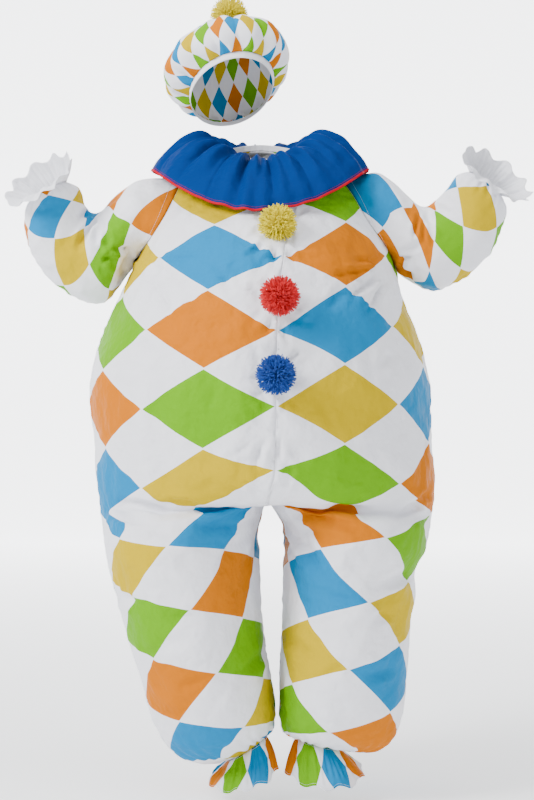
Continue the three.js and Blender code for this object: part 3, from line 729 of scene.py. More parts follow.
@dataclass(frozen=True)
class Fan:
    """Creases that run out from a point, with uneven spacing, length and depth.

    Attributes:
        x, z: Point they run from, in millimetres.
        start, end: First and last angle in degrees, counted from +X towards +Z.
        count: Number of creases.
        near, far: Distance from the point at which they begin and end.
        depth: Usual depth.
        seed: Seed of the unevenness.
    """

    x: float
    z: float
    start: float
    end: float
    count: int
    near: float
    far: float
    depth: float
    seed: int

    def creases(self, face: Face) -> list[Crease]:
        """Lays out the creases.

        Args:
            face: Side of the suit that carries them.

        Returns:
            The creases.
        """
        rng = np.random.default_rng(self.seed)
        out = []
        for i in range(self.count):
            angle = math.radians(mix(self.start, self.end, (i + rng.uniform(0.15, 0.85)) / self.count))
            near, far = self.near * rng.uniform(0.9, 1.3), self.far * rng.uniform(0.5, 1.0)
            cos, sin = math.cos(angle), math.sin(angle)
            ends = (self.x + near * cos, self.z + near * sin, self.x + far * cos, self.z + far * sin)
            depth = self.depth * rng.uniform(0.5, 1.15)
            out.append(Crease(*ends, depth, rng.uniform(5.0, 10.0), rng.uniform(-9, 9), face))
        return out


# Fields of Crease, in their order
FRONT_CREASES = (
    (48, -630, 30, -712, 5, 9, 4),
    (20, -640, -10, -720, 3.5, 9, -6),
    (70, -700, 44, -778, 4, 10, 6),
    (-330, -795, -200, -822, 7, 10, 8),
    (-352, -812, -235, -843, 5, 9, -6),
    (-230, -790, -120, -806, 4, 8, 5),
    (-150, -850, -40, -822, 6, 12, -10),
    (60, -820, 190, -838, 7, 12, 8),
    (150, -800, 268, -808, 5, 9, -5),
    (400, -762, 318, -806, 6, 9, 8),
    (398, -792, 300, -836, 5, 9, -7),
    (120, -838, 250, -862, 4, 12, 8),
    (-270, -870, -170, -905, 4, 13, 7),
    (-30, -860, -90, -960, 5, 14, -10),
    (90, -870, 130, -975, 5, 14, 10),
    (350, -950, 270, -985, 6, 12, 6),
    (-330, -1000, -240, -1035, 4, 12, -6),
    (-262, -1150, -150, -1110, 3.5, 14, 10),
    (20, -1120, -60, -1190, 4, 12, 8),
    (60, -1090, 130, -1150, 4, 12, -8),
    (318, -1180, 232, -1210, 4, 12, -8),
    (-180, -300, -120, -380, 3, 12, 8),
    (210, -290, 150, -370, 3, 12, -8),
    (-300, -420, -230, -470, 3, 13, 8),
    (330, -440, 268, -500, 3, 13, -8),
    (-110, -235, -60, -330, 2.6, 9, 7),
    (-150, -330, -128, -420, 2.2, 8, -6),
    (150, -330, 96, -400, 2.4, 9, 6),
    (-90, -520, -120, -610, 2.2, 9, -7),
    (120, -540, 170, -640, 2.4, 10, 8),
    (-220, -610, -190, -700, 2.4, 10, 6),
    (260, -640, 300, -730, 2.6, 10, -7),
    (-250, -930, -180, -990, 3.0, 10, 8),
    (-210, -1060, -130, -1040, 2.6, 9, -6),
    (-200, -1230, -110, -1200, 2.8, 10, 7),
    (190, -900, 250, -960, 3.0, 10, -7),
    (150, -1010, 230, -1035, 2.8, 9, 6),
    (120, -1200, 200, -1160, 2.8, 10, -7),
    (250, -1080, 320, -1040, 3.0, 10, 6),
)
BACK_CREASES = (
    (-330, -800, -190, -828, 6, 10, 8),
    (390, -790, 250, -822, 6, 10, -8),
    (-60, -700, -30, -780, 4, 11, 6),
    (80, -705, 60, -790, 4, 11, -6),
    (-250, -1010, -140, -1050, 4, 13, 6),
    (300, -1040, 190, -1075, 4, 13, -6),
)
# Fields of Fan, in their order
FRONT_FANS = (
    (-275, -235, -75, 12, 7, 24, 170, 5.0, 11),
    (305, -250, 168, 255, 7, 24, 170, 5.0, 12),
    (-268, -215, 150, 235, 6, 16, 95, 4.0, 13),
    (300, -232, -55, 30, 6, 16, 95, 4.0, 14),
    (-382, -235, -60, 60, 4, 14, 80, 4.0, 15),
    (-368, -125, 190, 300, 5, 12, 110, 6.0, 16),
    (372, -112, 240, 350, 5, 12, 110, 6.0, 17),
    (40, -175, 195, 262, 4, 44, 120, 3.0, 18),
    (40, -175, 278, 345, 4, 44, 120, 3.0, 19),
    (12, -806, 196, 262, 5, 26, 170, 3.4, 20),
    (18, -806, 278, 344, 5, 26, 170, 3.4, 21),
    (10, -800, 20, 160, 8, 20, 120, 2.0, 22),
    (10, -640, 20, 160, 6, 14, 110, 3.0, 80),
    (10, -640, 200, 340, 6, 14, 130, 3.4, 81),
)
BACK_FANS = (
    (-275, -235, -75, 12, 6, 24, 170, 5.0, 31),
    (305, -250, 168, 255, 6, 24, 170, 5.0, 32),
    (-368, -125, 190, 300, 4, 12, 110, 6.0, 33),
    (372, -112, 240, 350, 4, 12, 110, 6.0, 34),
    (14, -808, 190, 350, 9, 26, 190, 5.0, 35),
    (14, -800, 20, 160, 8, 20, 140, 3.5, 36),
)
# Fields of Fan after its point, in their order, for the fans at each pompom
POMPOM_FANS = (
    (20, 160, 5, 26, 105, 4.6, 40),
    (195, 345, 6, 26, 125, 4.2, 50),
    (-25, 25, 2, 26, 90, 3.4, 60),
    (160, 200, 2, 26, 90, 3.4, 70),
)


def suit_creases() -> list[Crease]:
    """Main creases of the suit, those that show and plainer ones like them at the back.

    Returns:
        The creases.
    """
    out = [Crease(*row) for row in FRONT_CREASES]
    out += [Crease(*row, Face.BACK) for row in BACK_CREASES]
    fans = [(Fan(*row), Face.FRONT) for row in FRONT_FANS]
    fans += [(Fan(*row), Face.BACK) for row in BACK_FANS]
    for i, place in enumerate(POMPOM_PLACES):
        fans += [(Fan(*place, *row[:-1], row[-1] + i), Face.FRONT) for row in POMPOM_FANS]
    for fan, face in fans:
        out += fan.creases(face)
    return out


CREASES = suit_creases()
CREASE_GAIN = 1.8
DEEPEST, HIGHEST = -14, 8
CALM_REACH = 30.0
CALM_SPOTS = (
    ((-194, 327, -483), 62),
    ((39, -275, -176), 20),
    ((43, -385, -338), 20),
    ((35, -418, -504), 20),
    ((0, 0, -20), 70),
)
ZIP_X, ZIP_LOW, ZIP_REACH = 6, -700, 60


@dataclass(frozen=True)
class Pucker:
    """Small gathers across a seam, which fade out with the distance from it.

    Attributes:
        depth: Depth in millimetres.
        reach: Distance over which they fade.
        pitch: Usual distance between two.
        seed: Seed of their unevenness.
        groove: Depth of the groove along the seam itself.
        groove_reach: Distance over which the groove fades.
    """

    depth: float
    reach: float
    pitch: float
    seed: int
    groove: float = 0.0
    groove_reach: float = 6.0

    def relief(self, along: Array, off: Array) -> Array:
        """Height that the gathers add.

        Args:
            along: Length along the seam.
            off: Distance from the seam.

        Returns:
            The height at each point.
        """
        part, seed = along / self.pitch, self.seed
        phase = part + 0.45 * np.sin(part * 0.83 + seed) + 0.3 * np.sin(part * 0.37 + 2 * seed)
        strength = 0.6 + 0.4 * np.sin(part * 0.29 + 3 * seed)
        height = self.depth * strength * np.exp(-np.abs(off) / self.reach) * np.sin(2 * math.pi * phase)
        return height - self.groove * np.exp(-off / self.groove_reach)


def calm(points: Array) -> Array:
    """Share of the relief that is kept, low beside the zip, the air inlet, the pompoms and the neck.

    Args:
        points: Points of the cloth in millimetres.

    Returns:
        The share at each point.
    """
    share = np.ones(points.shape[:-1])
    for centre, radius in CALM_SPOTS:
        away = np.linalg.norm(points - np.array(centre), axis=-1)
        share *= ease((away - radius) / CALM_REACH)
    at_zip = (points[..., 1] > 0) & (points[..., 2] > ZIP_LOW)
    off_zip = np.where(at_zip, np.abs(points[..., 0] - ZIP_X), 200)
    return share * ease((off_zip - 9) / ZIP_REACH)


def creased(points: Array, normals: Array) -> Array:
    """Height of the main creases and of the soft unevenness of blown-up cloth.

    Args:
        points: Points of the cloth in millimetres.
        normals: Outward direction at each.

    Returns:
        The height at each point.
    """
    height = 1.8 * waves(points, 190, 1) + 0.9 * waves(points, 75, 2)
    patchy = ease(0.5 + 0.9 * waves(points, 160, 4))
    height += 1.5 * patchy * waves(points * np.array([1.0, 1.0, 0.32]), 46, 3)
    patchy = ease(0.4 + 0.9 * waves(points, 120, 5))
    height += 0.9 * patchy * waves(points * np.array([0.5, 0.5, 1.0]), 26, 6)
    for crease in CREASES:
        height += CREASE_GAIN * crease.relief(points, normals)
    return np.clip(height, DEEPEST, HIGHEST) * calm(points)


# Print of the cloth, whose diamonds are two units wide and high


HALF_PERIODS = 16
HALF_HEIGHT, HALF_WIDTH = 86.5, 155.0
FIRST_CORNER = -250.0
LEAST_CUT_RADIUS = 120.0
LINE_STEP = 0.05


@dataclass(frozen=True)
class LegPrint:
    """How the print runs over a leg, from a corner of it that shows.

    Attributes:
        corner: Place of the corner in the print.
        across: Its distance from the front line of the leg.
        height: Its height.
        p_across, p_down, q_across, q_down: Steps of the print for a millimetre across or down.
    """

    corner: tuple[float, float]
    across: float
    height: float
    p_across: float
    p_down: float
    q_across: float
    q_down: float

    def at(self, across: Array, down: Array) -> tuple[Array, Array]:
        """Print coordinates of a place on the leg.

        Args:
            across: Distance from the front line of the leg.
            down: Length down from the corner.

        Returns:
            Both coordinates.
        """
        off = across - self.across
        p = self.corner[0] + self.p_across * off + self.p_down * down
        return p, self.corner[1] + self.q_across * off + self.q_down * down


LEG_PRINTS = {
    Side.RIGHT: LegPrint((-2, 10), 11, -1013, 0.00714, -0.00143, 0.00435, 0.01249),
    Side.LEFT: LegPrint((2, 10), 34, -996, 0.00697, 0.0014, -0.00288, 0.01213),
}


def line_length(line: Array, rows: Array, at: Array, height: float) -> Array:
    """Length down a line whose points lie on some rows, at other rows, counted from a height."""
    length = np.concatenate(([0.0], np.cumsum(np.linalg.norm(np.diff(line, axis=0), axis=1))))
    return np.interp(at, rows, length) - np.interp(-height, -line[:, 2], length)


def torso_print(side: Side, across: Array, row: Array) -> tuple[Array, Array]:
    """Print coordinates of the upper part of a panel, drawn in a little at the centre seam.

    Args:
        side: Left or right.
        across: Length across from the centre seam.
        row: Row counted down from the neck.

    Returns:
        Both coordinates.
    """
    rows = np.arange(0, 19, LINE_STEP)
    front = torso_point(np.radians(smooth(TORSO, "turn", rows)), rows)
    p = side.value * across / HALF_WIDTH
    q = line_length(front, rows, row, FIRST_CORNER) / HALF_HEIGHT
    sag = 0.16 * np.exp(-((p / 0.5) ** 2)) * (1 - ease((q - 1) / 3))
    pull = 0.55 * np.exp(-((across / 110) ** 2) - ((q - 6) / 1.1) ** 2)
    return p, q + mix(0.06, 0.18, ease(0.5 + p / 1.6)) + pull - sag


def leg_print(side: Side, across: Array, row: Array) -> tuple[Array, Array]:
    """Print coordinates of the leg of a panel.

    Args:
        side: Left or right.
        across: Length across from the front line of the leg.
        row: Row counted down from the neck.

    Returns:
        Both coordinates.
    """
    leg, law = LEGS[side], LEG_PRINTS[side]
    at = row - CROTCH_ROW
    wide = np.abs(smooth(leg, "outer", at) - smooth(leg, "inner", at)) / 2
    radius = np.sqrt((wide**2 + smooth(leg, "front", at) ** 2) / 2)
    spread = np.maximum(LEAST_CUT_RADIUS / radius, 1)
    rows = np.arange(15, 30.01, LINE_STEP)
    line = leg_point(side, Face.FRONT, np.full(len(rows), math.pi / 2), rows)
    return law.at(side.value * across * spread, line_length(line, rows, row, law.height))


def panel_print(side: Side, face: Face, u: Array, row: Array) -> Array:
    """Print coordinates of a panel on a grid, by the length of the cloth across and down.

    Args:
        side: Left or right.
        face: Front or back, which is the front's print moved on round the suit.
        u: 0 at the centre seam or the inseam to 1 at the side.
        row: Row from the neck to the ankle.

    Returns:
        Both coordinates on a last axis of two.
    """
    across = arc(panel_point(side, Face.FRONT, u, row), 1)
    off_middle = across - across[:, u.shape[1] // 2, None]
    share = ease((row - 15.5) / 3)
    upper, lower = torso_print(side, across, row), leg_print(side, off_middle, row)
    p, q = (mix(a, b, share) for a, b in zip(upper, lower))
    if face is Face.BACK:
        p = side.value * HALF_PERIODS / 2 - p
    return np.stack((p, q), axis=-1)


# Nodes


class Graph:
    """Adds and links nodes in one tree."""

    def __init__(self, tree: Tree) -> None:
        """Keeps the tree."""
        self.tree = tree

    def add(self, kind: str, *inputs: object, **settings: object) -> Node:
        """A node with its first inputs set or linked.

        Args:
            kind: Type name of the node.
            *inputs: Value or socket for each input in order.
            **settings: Properties of the node.

        Returns:
            The node.
        """
        node = self.tree.nodes.new(kind)
        for name, value in settings.items():
            setattr(node, name, value)
        for socket, value in zip(node.inputs, inputs):
            self.put(socket, value)
        return node

    def put(self, socket: Socket, value: object) -> None:
        """Links or sets one input.

        Args:
            socket: The input.
            value: A socket to link, or a value.
        """
        if isinstance(value, Socket):
            self.tree.links.new(value, socket)
        else:
            socket.default_value = value

    def fill(self, node: Node, values: dict[str | int, object]) -> Node:
        """Links or sets inputs of a node.

        Args:
            node: The node.
            values: Socket or value for each input, by its name or number.

        Returns:
            The same node.
        """
        for name, value in values.items():
            self.put(node.inputs[name], value)
        return node

    def math(self, operation: str, a: object, b: object) -> Socket:
        """Result of a math node."""
        return self.add("ShaderNodeMath", a, b, operation=operation).outputs[0]

    def colour_mix(self, share: object, a: object, b: object, blend: str = "MIX") -> Socket:
        """Result of a colour mix."""
        node = self.add("ShaderNodeMix", data_type="RGBA", blend_type=blend)
        return self.fill(node, {0: share, 6: a, 7: b}).outputs[2]

    def noise(self, place: Socket, scale: float, detail: float, **settings: object) -> Socket:
        """Value of a noise texture."""
        node = self.add("ShaderNodeTexNoise", **settings)
        return self.fill(node, {"Vector": place, "Scale": scale, "Detail": detail}).outputs[0]

    def spread(self, value: Socket, low: float, high: float) -> Socket:
        """Middle range of a noise drawn out between two values."""
        return self.add("ShaderNodeMapRange", value, 0.3, 0.7, low, high).outputs[0]

    def place(self) -> Socket:
        """Object coordinates."""
        return self.add("ShaderNodeTexCoord").outputs["Object"]


def new_group(kind: str, name: str, inputs: Sequence, outputs: Sequence) -> tuple[Graph, Node, Node]:
    """Node group with named sockets.

    Args:
        kind: Shader or Geometry.
        name: Name of the group.
        inputs: Name and socket type of each input, and its default where it has one.
        outputs: Name and socket type of each output.

    Returns:
        Its graph, its input node and its output node.
    """
    tree = bpy.data.node_groups.new(name, f"{kind}NodeTree")
    for way, rows in (("INPUT", inputs), ("OUTPUT", outputs)):
        for label, socket_type, *default in rows:
            socket = tree.interface.new_socket(label, in_out=way, socket_type=f"NodeSocket{socket_type}")
            if default:
                socket.default_value = default[0]
    graph = Graph(tree)
    return graph, graph.add("NodeGroupInput"), graph.add("NodeGroupOutput")


# Finishes


WHITE = (0.83, 0.835, 0.885)
LIGHT_BLUE = (0.0005, 0.19, 0.42)
ORANGE = (0.54, 0.15, 0.0006)
GREEN = (0.12, 0.35, 0.0006)
YELLOW = (0.52, 0.365, 0.0001)
DIAMONDS = (YELLOW, GREEN, ORANGE, LIGHT_BLUE)


def rgba(colour: Sequence[float]) -> tuple[float, ...]:
    """Colour with full cover."""
    return (*colour, 1.0)


def harlequin_group() -> Tree:
    """Group that colours the diamonds of the print from its two coordinates.

    Returns:
        The group.
    """
    inputs = (("Map", "Vector"), ("Line", "Float", 0.0097))
    outputs = (("Color", "Color"), ("Coloured", "Float"))
    graph, given, result = new_group("Shader", "Harlequin", inputs, outputs)
    split = graph.add("ShaderNodeSeparateXYZ", given.outputs["Map"])
    cells, edges = [], []
    for operation in ("ADD", "SUBTRACT"):
        half = graph.math("DIVIDE", graph.math(operation, split.outputs[0], split.outputs[1]), 2.0)
        cell = graph.math("FLOOR", half, 0.0)
        part = graph.math("SUBTRACT", half, cell)
        cells.append(cell)
        edges.append(graph.math("MINIMUM", part, graph.math("SUBTRACT", 1.0, part)))
    total = graph.math("ADD", *cells)
    even = graph.math("SUBTRACT", 1.0, graph.math("FLOORED_MODULO", total, 2.0))
    clear = graph.math("GREATER_THAN", graph.math("MINIMUM", *edges), given.outputs["Line"])
    mask = graph.math("MULTIPLY", even, clear)
    down = graph.math("DIVIDE", graph.math("SUBTRACT", *cells), 2.0)
    across = graph.math("DIVIDE", graph.math("SUBTRACT", total, 4.0), 2.0)
    column = graph.math("FLOORED_MODULO", across, 4.0)
    odd = graph.math("FLOORED_MODULO", column, 2.0)
    way = graph.math("SUBTRACT", 1.0, graph.math("MULTIPLY", odd, 2.0))
    step = graph.math("ADD", graph.math("MULTIPLY", way, down), graph.math("MULTIPLY", odd, 2.0))
    index = graph.math("FLOORED_MODULO", graph.math("ADD", step, column), 4.0)
    ramp = graph.add("ShaderNodeValToRGB", graph.math("DIVIDE", graph.math("ADD", index, 0.5), 4.0))
    ramp.color_ramp.interpolation = "CONSTANT"
    while len(ramp.color_ramp.elements) < len(DIAMONDS):
        ramp.color_ramp.elements.new(1.0)
    for i, colour in enumerate(DIAMONDS):
        ramp.color_ramp.elements[i].position = i / len(DIAMONDS)
        ramp.color_ramp.elements[i].color = rgba(colour)
    colour = graph.colour_mix(mask, rgba(WHITE), ramp.outputs[0])
    graph.fill(result, {"Color": colour, "Coloured": mask})
    return graph.tree


def grain_group() -> Tree:
    """Group with the fine wrinkles and the weave of thin cloth, and a painted shade that darkens the colour a
    little where the folds sink.

    Returns:
        The group.
    """
    inputs = (("Wrinkle", "Float", 1.0), ("Weave", "Float", 1.0))
    outputs = (("Normal", "Vector"), ("Shade", "Color"))
    graph, given, result = new_group("Shader", "Cloth grain", inputs, outputs)
    place = graph.place()
    drawn = graph.add("ShaderNodeVectorMath", place, (1.0, 1.0, 0.4), operation="MULTIPLY").outputs[0]
    soft = graph.noise(place, 11.0, 3.0)
    sharp = graph.noise(drawn, 9.0, 2.5, noise_type="RIDGED_MULTIFRACTAL")
    fine = graph.noise(place, 46.0, 3.0)
    folds = graph.math("ADD", soft, graph.math("MULTIPLY", sharp, 0.5))
    folds = graph.math("ADD", folds, graph.math("MULTIPLY", fine, 0.14))
    height = graph.math("MULTIPLY", folds, given.outputs["Wrinkle"])
    bump = graph.add("ShaderNodeBump")
    graph.fill(bump, {"Strength": 1.0, "Distance": 0.02, "Height": height})
    height = graph.math("MULTIPLY", graph.noise(place, 1400.0, 1.0), given.outputs["Weave"])
    weave = graph.add("ShaderNodeBump")
    graph.fill(weave, {"Strength": 0.25, "Distance": 0.0003, "Height": height, "Normal": bump.outputs[0]})
    # The shade output is painted shade: it darkens the colour by up to 4.5 percent where the soft fold noise
    # is low.
    graph.fill(result, {"Normal": weave.outputs[0], "Shade": graph.spread(soft, 0.955, 1.0)})
    return graph.tree


class Effects:
    """Shader groups that more than one finish uses."""

    def __init__(self) -> None:
        """Builds the groups."""
        self.harlequin = harlequin_group()
        self.grain = grain_group()


@dataclass(frozen=True)
class Cloth:
    """Thin cloth, with the diamonds of the print where no colour is given."""

    name: str
    colour: Triple | None = None
    roughness: float = 0.5
    sheen: float = 0.0
    wrinkle: float = 1.0

    def dress(self, graph: Graph, shader: Node, effects: Effects) -> None:
        """Adds the nodes of the finish.

        Args:
            graph: Graph of the material.
            shader: Its shader node.
            effects: The shared groups.
        """
        grain = graph.add("ShaderNodeGroup", node_tree=effects.grain)
        grain.inputs["Wrinkle"].default_value = self.wrinkle
        if self.colour is None:
            harlequin = graph.add("ShaderNodeGroup", node_tree=effects.harlequin)
            graph.put(harlequin.inputs["Map"], graph.add("ShaderNodeUVMap", uv_map="print").outputs[0])
            base = harlequin.outputs["Color"]
        else:
            base = rgba(self.colour)
        # Multiplies the colour by the grain's painted shade, darker where the folds sink.
        colour = graph.colour_mix(1.0, base, grain.outputs["Shade"], "MULTIPLY")
        graph.fill(shader, {"Base Color": colour, "Normal": grain.outputs["Normal"]})
        graph.fill(shader, {"Sheen Weight": self.sheen, "Sheen Roughness": 0.4})
        graph.fill(shader, {"IOR": 1.2, "Specular IOR Level": 0.1})


@dataclass(frozen=True)
class Yarn:
    """Fluffy yarn with a little variation from strand to strand."""

    name: str
    colour: Triple
    roughness: float = 0.85

    def dress(self, graph: Graph, shader: Node, effects: Effects) -> None:
        """Adds the nodes of the finish.

        Args:
            graph: Graph of the material.
            shader: Its shader node.
            effects: The shared groups, not used by yarn.
        """
        shade = graph.spread(graph.noise(graph.place(), 260.0, 2.0), 0.72, 1.0)
        colour = graph.colour_mix(1.0, rgba(self.colour), shade, "MULTIPLY")
        graph.put(shader.inputs["Base Color"], colour)
        shader.inputs["Sheen Weight"].default_value = 0.05


@dataclass(frozen=True)
class Hard:
    """Metal or plastic with faint wear."""

    name: str
    colour: Triple
    roughness: float
    metallic: float = 0.0

    def dress(self, graph: Graph, shader: Node, effects: Effects) -> None:
        """Adds the nodes of the finish.

        Args:
            graph: Graph of the material.
            shader: Its shader node.
            effects: The shared groups, not used by metal and plastic.
        """
        wear = graph.spread(graph.noise(graph.place(), 90.0, 4.0), self.roughness * 0.8, self.roughness * 1.2)
        graph.fill(shader, {"Base Color": rgba(self.colour), "Roughness": wear, "Metallic": self.metallic})


@dataclass(frozen=True)
class Paper:
    """Pale paper that glows more towards the wall.

    Attributes:
        name: Name of its material.
        colour: Its colour.
        glow: Colour of its glow.
        span: Depth at which the glow starts to grow and at which it is full.
        strength: Strength of the glow at these.
        roughness: Its roughness.
    """

    name: str
    colour: Triple
    glow: Triple
    span: tuple[float, float]
    strength: tuple[float, float]
    roughness: float = 0.95

    def dress(self, graph: Graph, shader: Node, effects: Effects) -> None:
        """Adds the nodes of the finish.

        Args:
            graph: Graph of the material.
            shader: Its shader node.
            effects: The shared groups, not used by paper.
        """
        depth = graph.add("ShaderNodeSeparateXYZ", graph.place()).outputs[1]
        strength = graph.add("ShaderNodeMapRange", depth, *self.span, *self.strength).outputs[0]
        graph.fill(shader, {"Base Color": rgba(self.colour), "Emission Color": rgba(self.glow)})
        graph.put(shader.inputs["Emission Strength"], strength)


Finish = Cloth | Yarn | Hard | Paper

PRINTED_CLOTH = Cloth("printed cloth")
WHITE_CLOTH = Cloth("white cloth", WHITE)
RUFF_CLOTH = Cloth("ruff cloth", (0.0005, 0.028, 0.15), roughness=0.6, wrinkle=0.8)
BINDING_TAPE = Cloth("binding tape", (0.4, 0.0015, 0.014), roughness=0.55, wrinkle=0.4)
BAND_CLOTH = Cloth("band cloth", WHITE, roughness=0.55, sheen=0.1, wrinkle=0.3)
HAT_CLOTH = Cloth("printed hat cloth", wrinkle=0.5)
ZIP_TAPE = Cloth("zip tape", (0.80, 0.81, 0.84), roughness=0.6, sheen=0.05, wrinkle=0.1)
THREAD = Yarn("thread", (0.72, 0.73, 0.76))
YELLOW_YARN = Yarn("yellow yarn", (0.95, 0.8, 0.0005))
RED_YARN = Yarn("red yarn", (0.8, 0.003, 0.012))
BLUE_YARN = Yarn("blue yarn", (0.0005, 0.075, 0.42))
ZIP_COIL = Hard("zip coil", (0.75, 0.76, 0.79), 0.35)
ZIP_METAL = Hard("zip metal", (0.55, 0.56, 0.58), 0.32, 1.0)
GUARD_PLASTIC = Hard("guard plastic", (0.62, 0.64, 0.67), 0.5)
BACKDROP_PAPER = Paper("backdrop paper", (0.86, 0.865, 0.875), (0.97, 0.98, 1.0), (0.5, 8), (0.5, 3.4))


class Wardrobe:
    """Materials of the costume, each made once from its finish."""

    def __init__(self) -> None:
        """Builds the shared effects."""
        self.effects = Effects()
        self.made: dict[Finish, Material] = {}

    def material(self, finish: Finish) -> Material:
        """Material of a finish.

        Args:
            finish: The finish.

        Returns:
            The material, a new one the first time.
        """
        if finish not in self.made:
            made = bpy.data.materials.new(finish.name)
            made.use_nodes = True
            shader = made.node_tree.nodes["Principled BSDF"]
            shader.inputs["Roughness"].default_value = finish.roughness
            finish.dress(Graph(made.node_tree), shader, self.effects)
            self.made[finish] = made
        return self.made[finish]


# Repeated pieces


GEOMETRY = ("Geometry", "Geometry")
THREAD_LIFT = 0.25


def along_and_spun(graph: Graph, aim: Socket, axis: Triple, angle: Socket) -> Socket:
    """Rotation that points Z along a direction and then turns about an axis of its own.

    Args:
        graph: Graph of the group.
        aim: Direction for Z.
        axis: Axis of the turn.
        angle: Size of the turn.

    Returns:
        The rotation.
    """
    turn = graph.add("FunctionNodeAxisAngleToRotation")
    graph.fill(turn, {"Axis": axis, "Angle": angle})
    return graph.add("FunctionNodeRotateRotation", aim, turn.outputs[0], rotation_space="LOCAL").outputs[0]


def end_group(graph: Graph, given: Node, result: Node, geometry: Socket) -> None:
    """Sets the material and ends the group.

    Args:
        graph: Graph of the group.
        given: Its input node.
        result: Its output node.
        geometry: What the group has made.
    """
    dressed = graph.add("GeometryNodeSetMaterial", geometry)
    graph.put(dressed.inputs["Material"], given.outputs["Material"])
    graph.put(result.inputs[0], dressed.outputs[0])


def stitch_group() -> Tree:
    """Group that sets short rounded bars along the edges of a mesh.

    Returns:
        The group.
    """
    inputs = (
        GEOMETRY,
        ("Pitch", "Float", 0.004),
        ("Length", "Float", 0.003),
        ("Thickness", "Float", 0.0006),
        ("Lean", "Float", 0.0),
        ("Material", "Material"),
    )
    graph, given, result = new_group("Geometry", "Stitches", inputs, (GEOMETRY,))
    curve = graph.add("GeometryNodeMeshToCurve", given.outputs["Geometry"])
    points = graph.add("GeometryNodeResampleCurve", curve.outputs[0], mode="LENGTH")
    graph.put(points.inputs["Length"], given.outputs["Pitch"])
    bar = graph.add("GeometryNodeMeshCylinder")
    radius = graph.math("DIVIDE", given.outputs["Thickness"], 2.0)
    graph.fill(bar, {"Vertices": 6, "Radius": radius, "Depth": given.outputs["Length"]})
    along = graph.add("FunctionNodeAlignRotationToVector", axis="Z")
    graph.put(along.inputs["Vector"], graph.add("GeometryNodeInputTangent").outputs[0])
    up = graph.add("GeometryNodeInputNamedAttribute", data_type="FLOAT_VECTOR")
    up.inputs["Name"].default_value = "up"
    upright = graph.add("FunctionNodeAlignRotationToVector", axis="X", pivot_axis="Z")
    graph.fill(upright, {"Rotation": along.outputs[0], "Vector": up.outputs[0]})
    turned = along_and_spun(graph, upright.outputs[0], (1.0, 0.0, 0.0), given.outputs["Lean"])
    bars = graph.add("GeometryNodeInstanceOnPoints")
    graph.fill(bars, {"Points": points.outputs[0], "Instance": bar.outputs[0], "Rotation": turned})
    real = graph.add("GeometryNodeRealizeInstances", bars.outputs[0])
    end_group(graph, given, result, real.outputs[0])
    return graph.tree


def yarn_group() -> Tree:
    """Group that grows bent strands of yarn on the points of a mesh and keeps the mesh under them.

    Returns:
        The group.
    """
    inputs = (
        GEOMETRY,
        ("Length", "Float", 0.02),
        ("Thickness", "Float", 0.0018),
        ("Spread", "Float", 0.35),
        ("Seed", "Int", 7),
        ("Material", "Material"),
    )
    graph, given, result = new_group("Geometry", "Yarn", inputs, (GEOMETRY,))
    length, seed = given.outputs["Length"], given.outputs["Seed"]
    strand = graph.add("GeometryNodeCurvePrimitiveBezierSegment")
    graph.fill(strand, {"Resolution": 4, "Start": (0, 0, 0), "Start Handle": (0, 0, 0.4)})
    graph.fill(strand, {"End Handle": (0.1, 0, 0.7), "End": (0.26, 0, 1)})
    thin = graph.math("DIVIDE", graph.math("DIVIDE", given.outputs["Thickness"], length), 2.0)
    section = graph.add("GeometryNodeCurvePrimitiveCircle")
    graph.fill(section, {"Resolution": 3, "Radius": thin})
    tube = graph.add("GeometryNodeCurveToMesh", strand.outputs[0], section.outputs[0])
    tube.inputs["Fill Caps"].default_value = True
    stray = graph.add("FunctionNodeRandomValue", (-1, -1, -1), (1, 1, 1), data_type="FLOAT_VECTOR")
    graph.put(stray.inputs["Seed"], seed)
    scaled = graph.add("ShaderNodeVectorMath", stray.outputs[0], operation="SCALE")
    graph.put(scaled.inputs["Scale"], given.outputs["Spread"])
    normal = graph.add("GeometryNodeInputNormal").outputs[0]
    aim = graph.add("ShaderNodeVectorMath", normal, scaled.outputs[0], operation="ADD")
    along = graph.add("FunctionNodeAlignRotationToVector", axis="Z")
    graph.put(along.inputs["Vector"], aim.outputs[0])
    spin = graph.add("FunctionNodeRandomValue", data_type="FLOAT")
    graph.fill(spin, {3: 6.283, "Seed": graph.math("ADD", seed, 1.0)})
    turned = along_and_spun(graph, along.outputs[0], (0.0, 0.0, 1.0), spin.outputs[1])
    size = graph.add("FunctionNodeRandomValue", data_type="FLOAT")
    graph.fill(size, {2: 0.72, 3: 1.06, "Seed": graph.math("ADD", seed, 2.0)})
    strands = graph.add("GeometryNodeInstanceOnPoints")
    graph.fill(strands, {"Points": given.outputs["Geometry"], "Instance": tube.outputs[0]})
    scale = graph.math("MULTIPLY", size.outputs[1], length)
    graph.fill(strands, {"Rotation": turned, "Scale": scale})
    real = graph.add("GeometryNodeRealizeInstances", strands.outputs[0])
    both = graph.add("GeometryNodeJoinGeometry")
    graph.tree.links.new(given.outputs["Geometry"], both.inputs[0])
    graph.tree.links.new(real.outputs[0], both.inputs[0])
    end_group(graph, given, result, both.outputs[0])
    return graph.tree


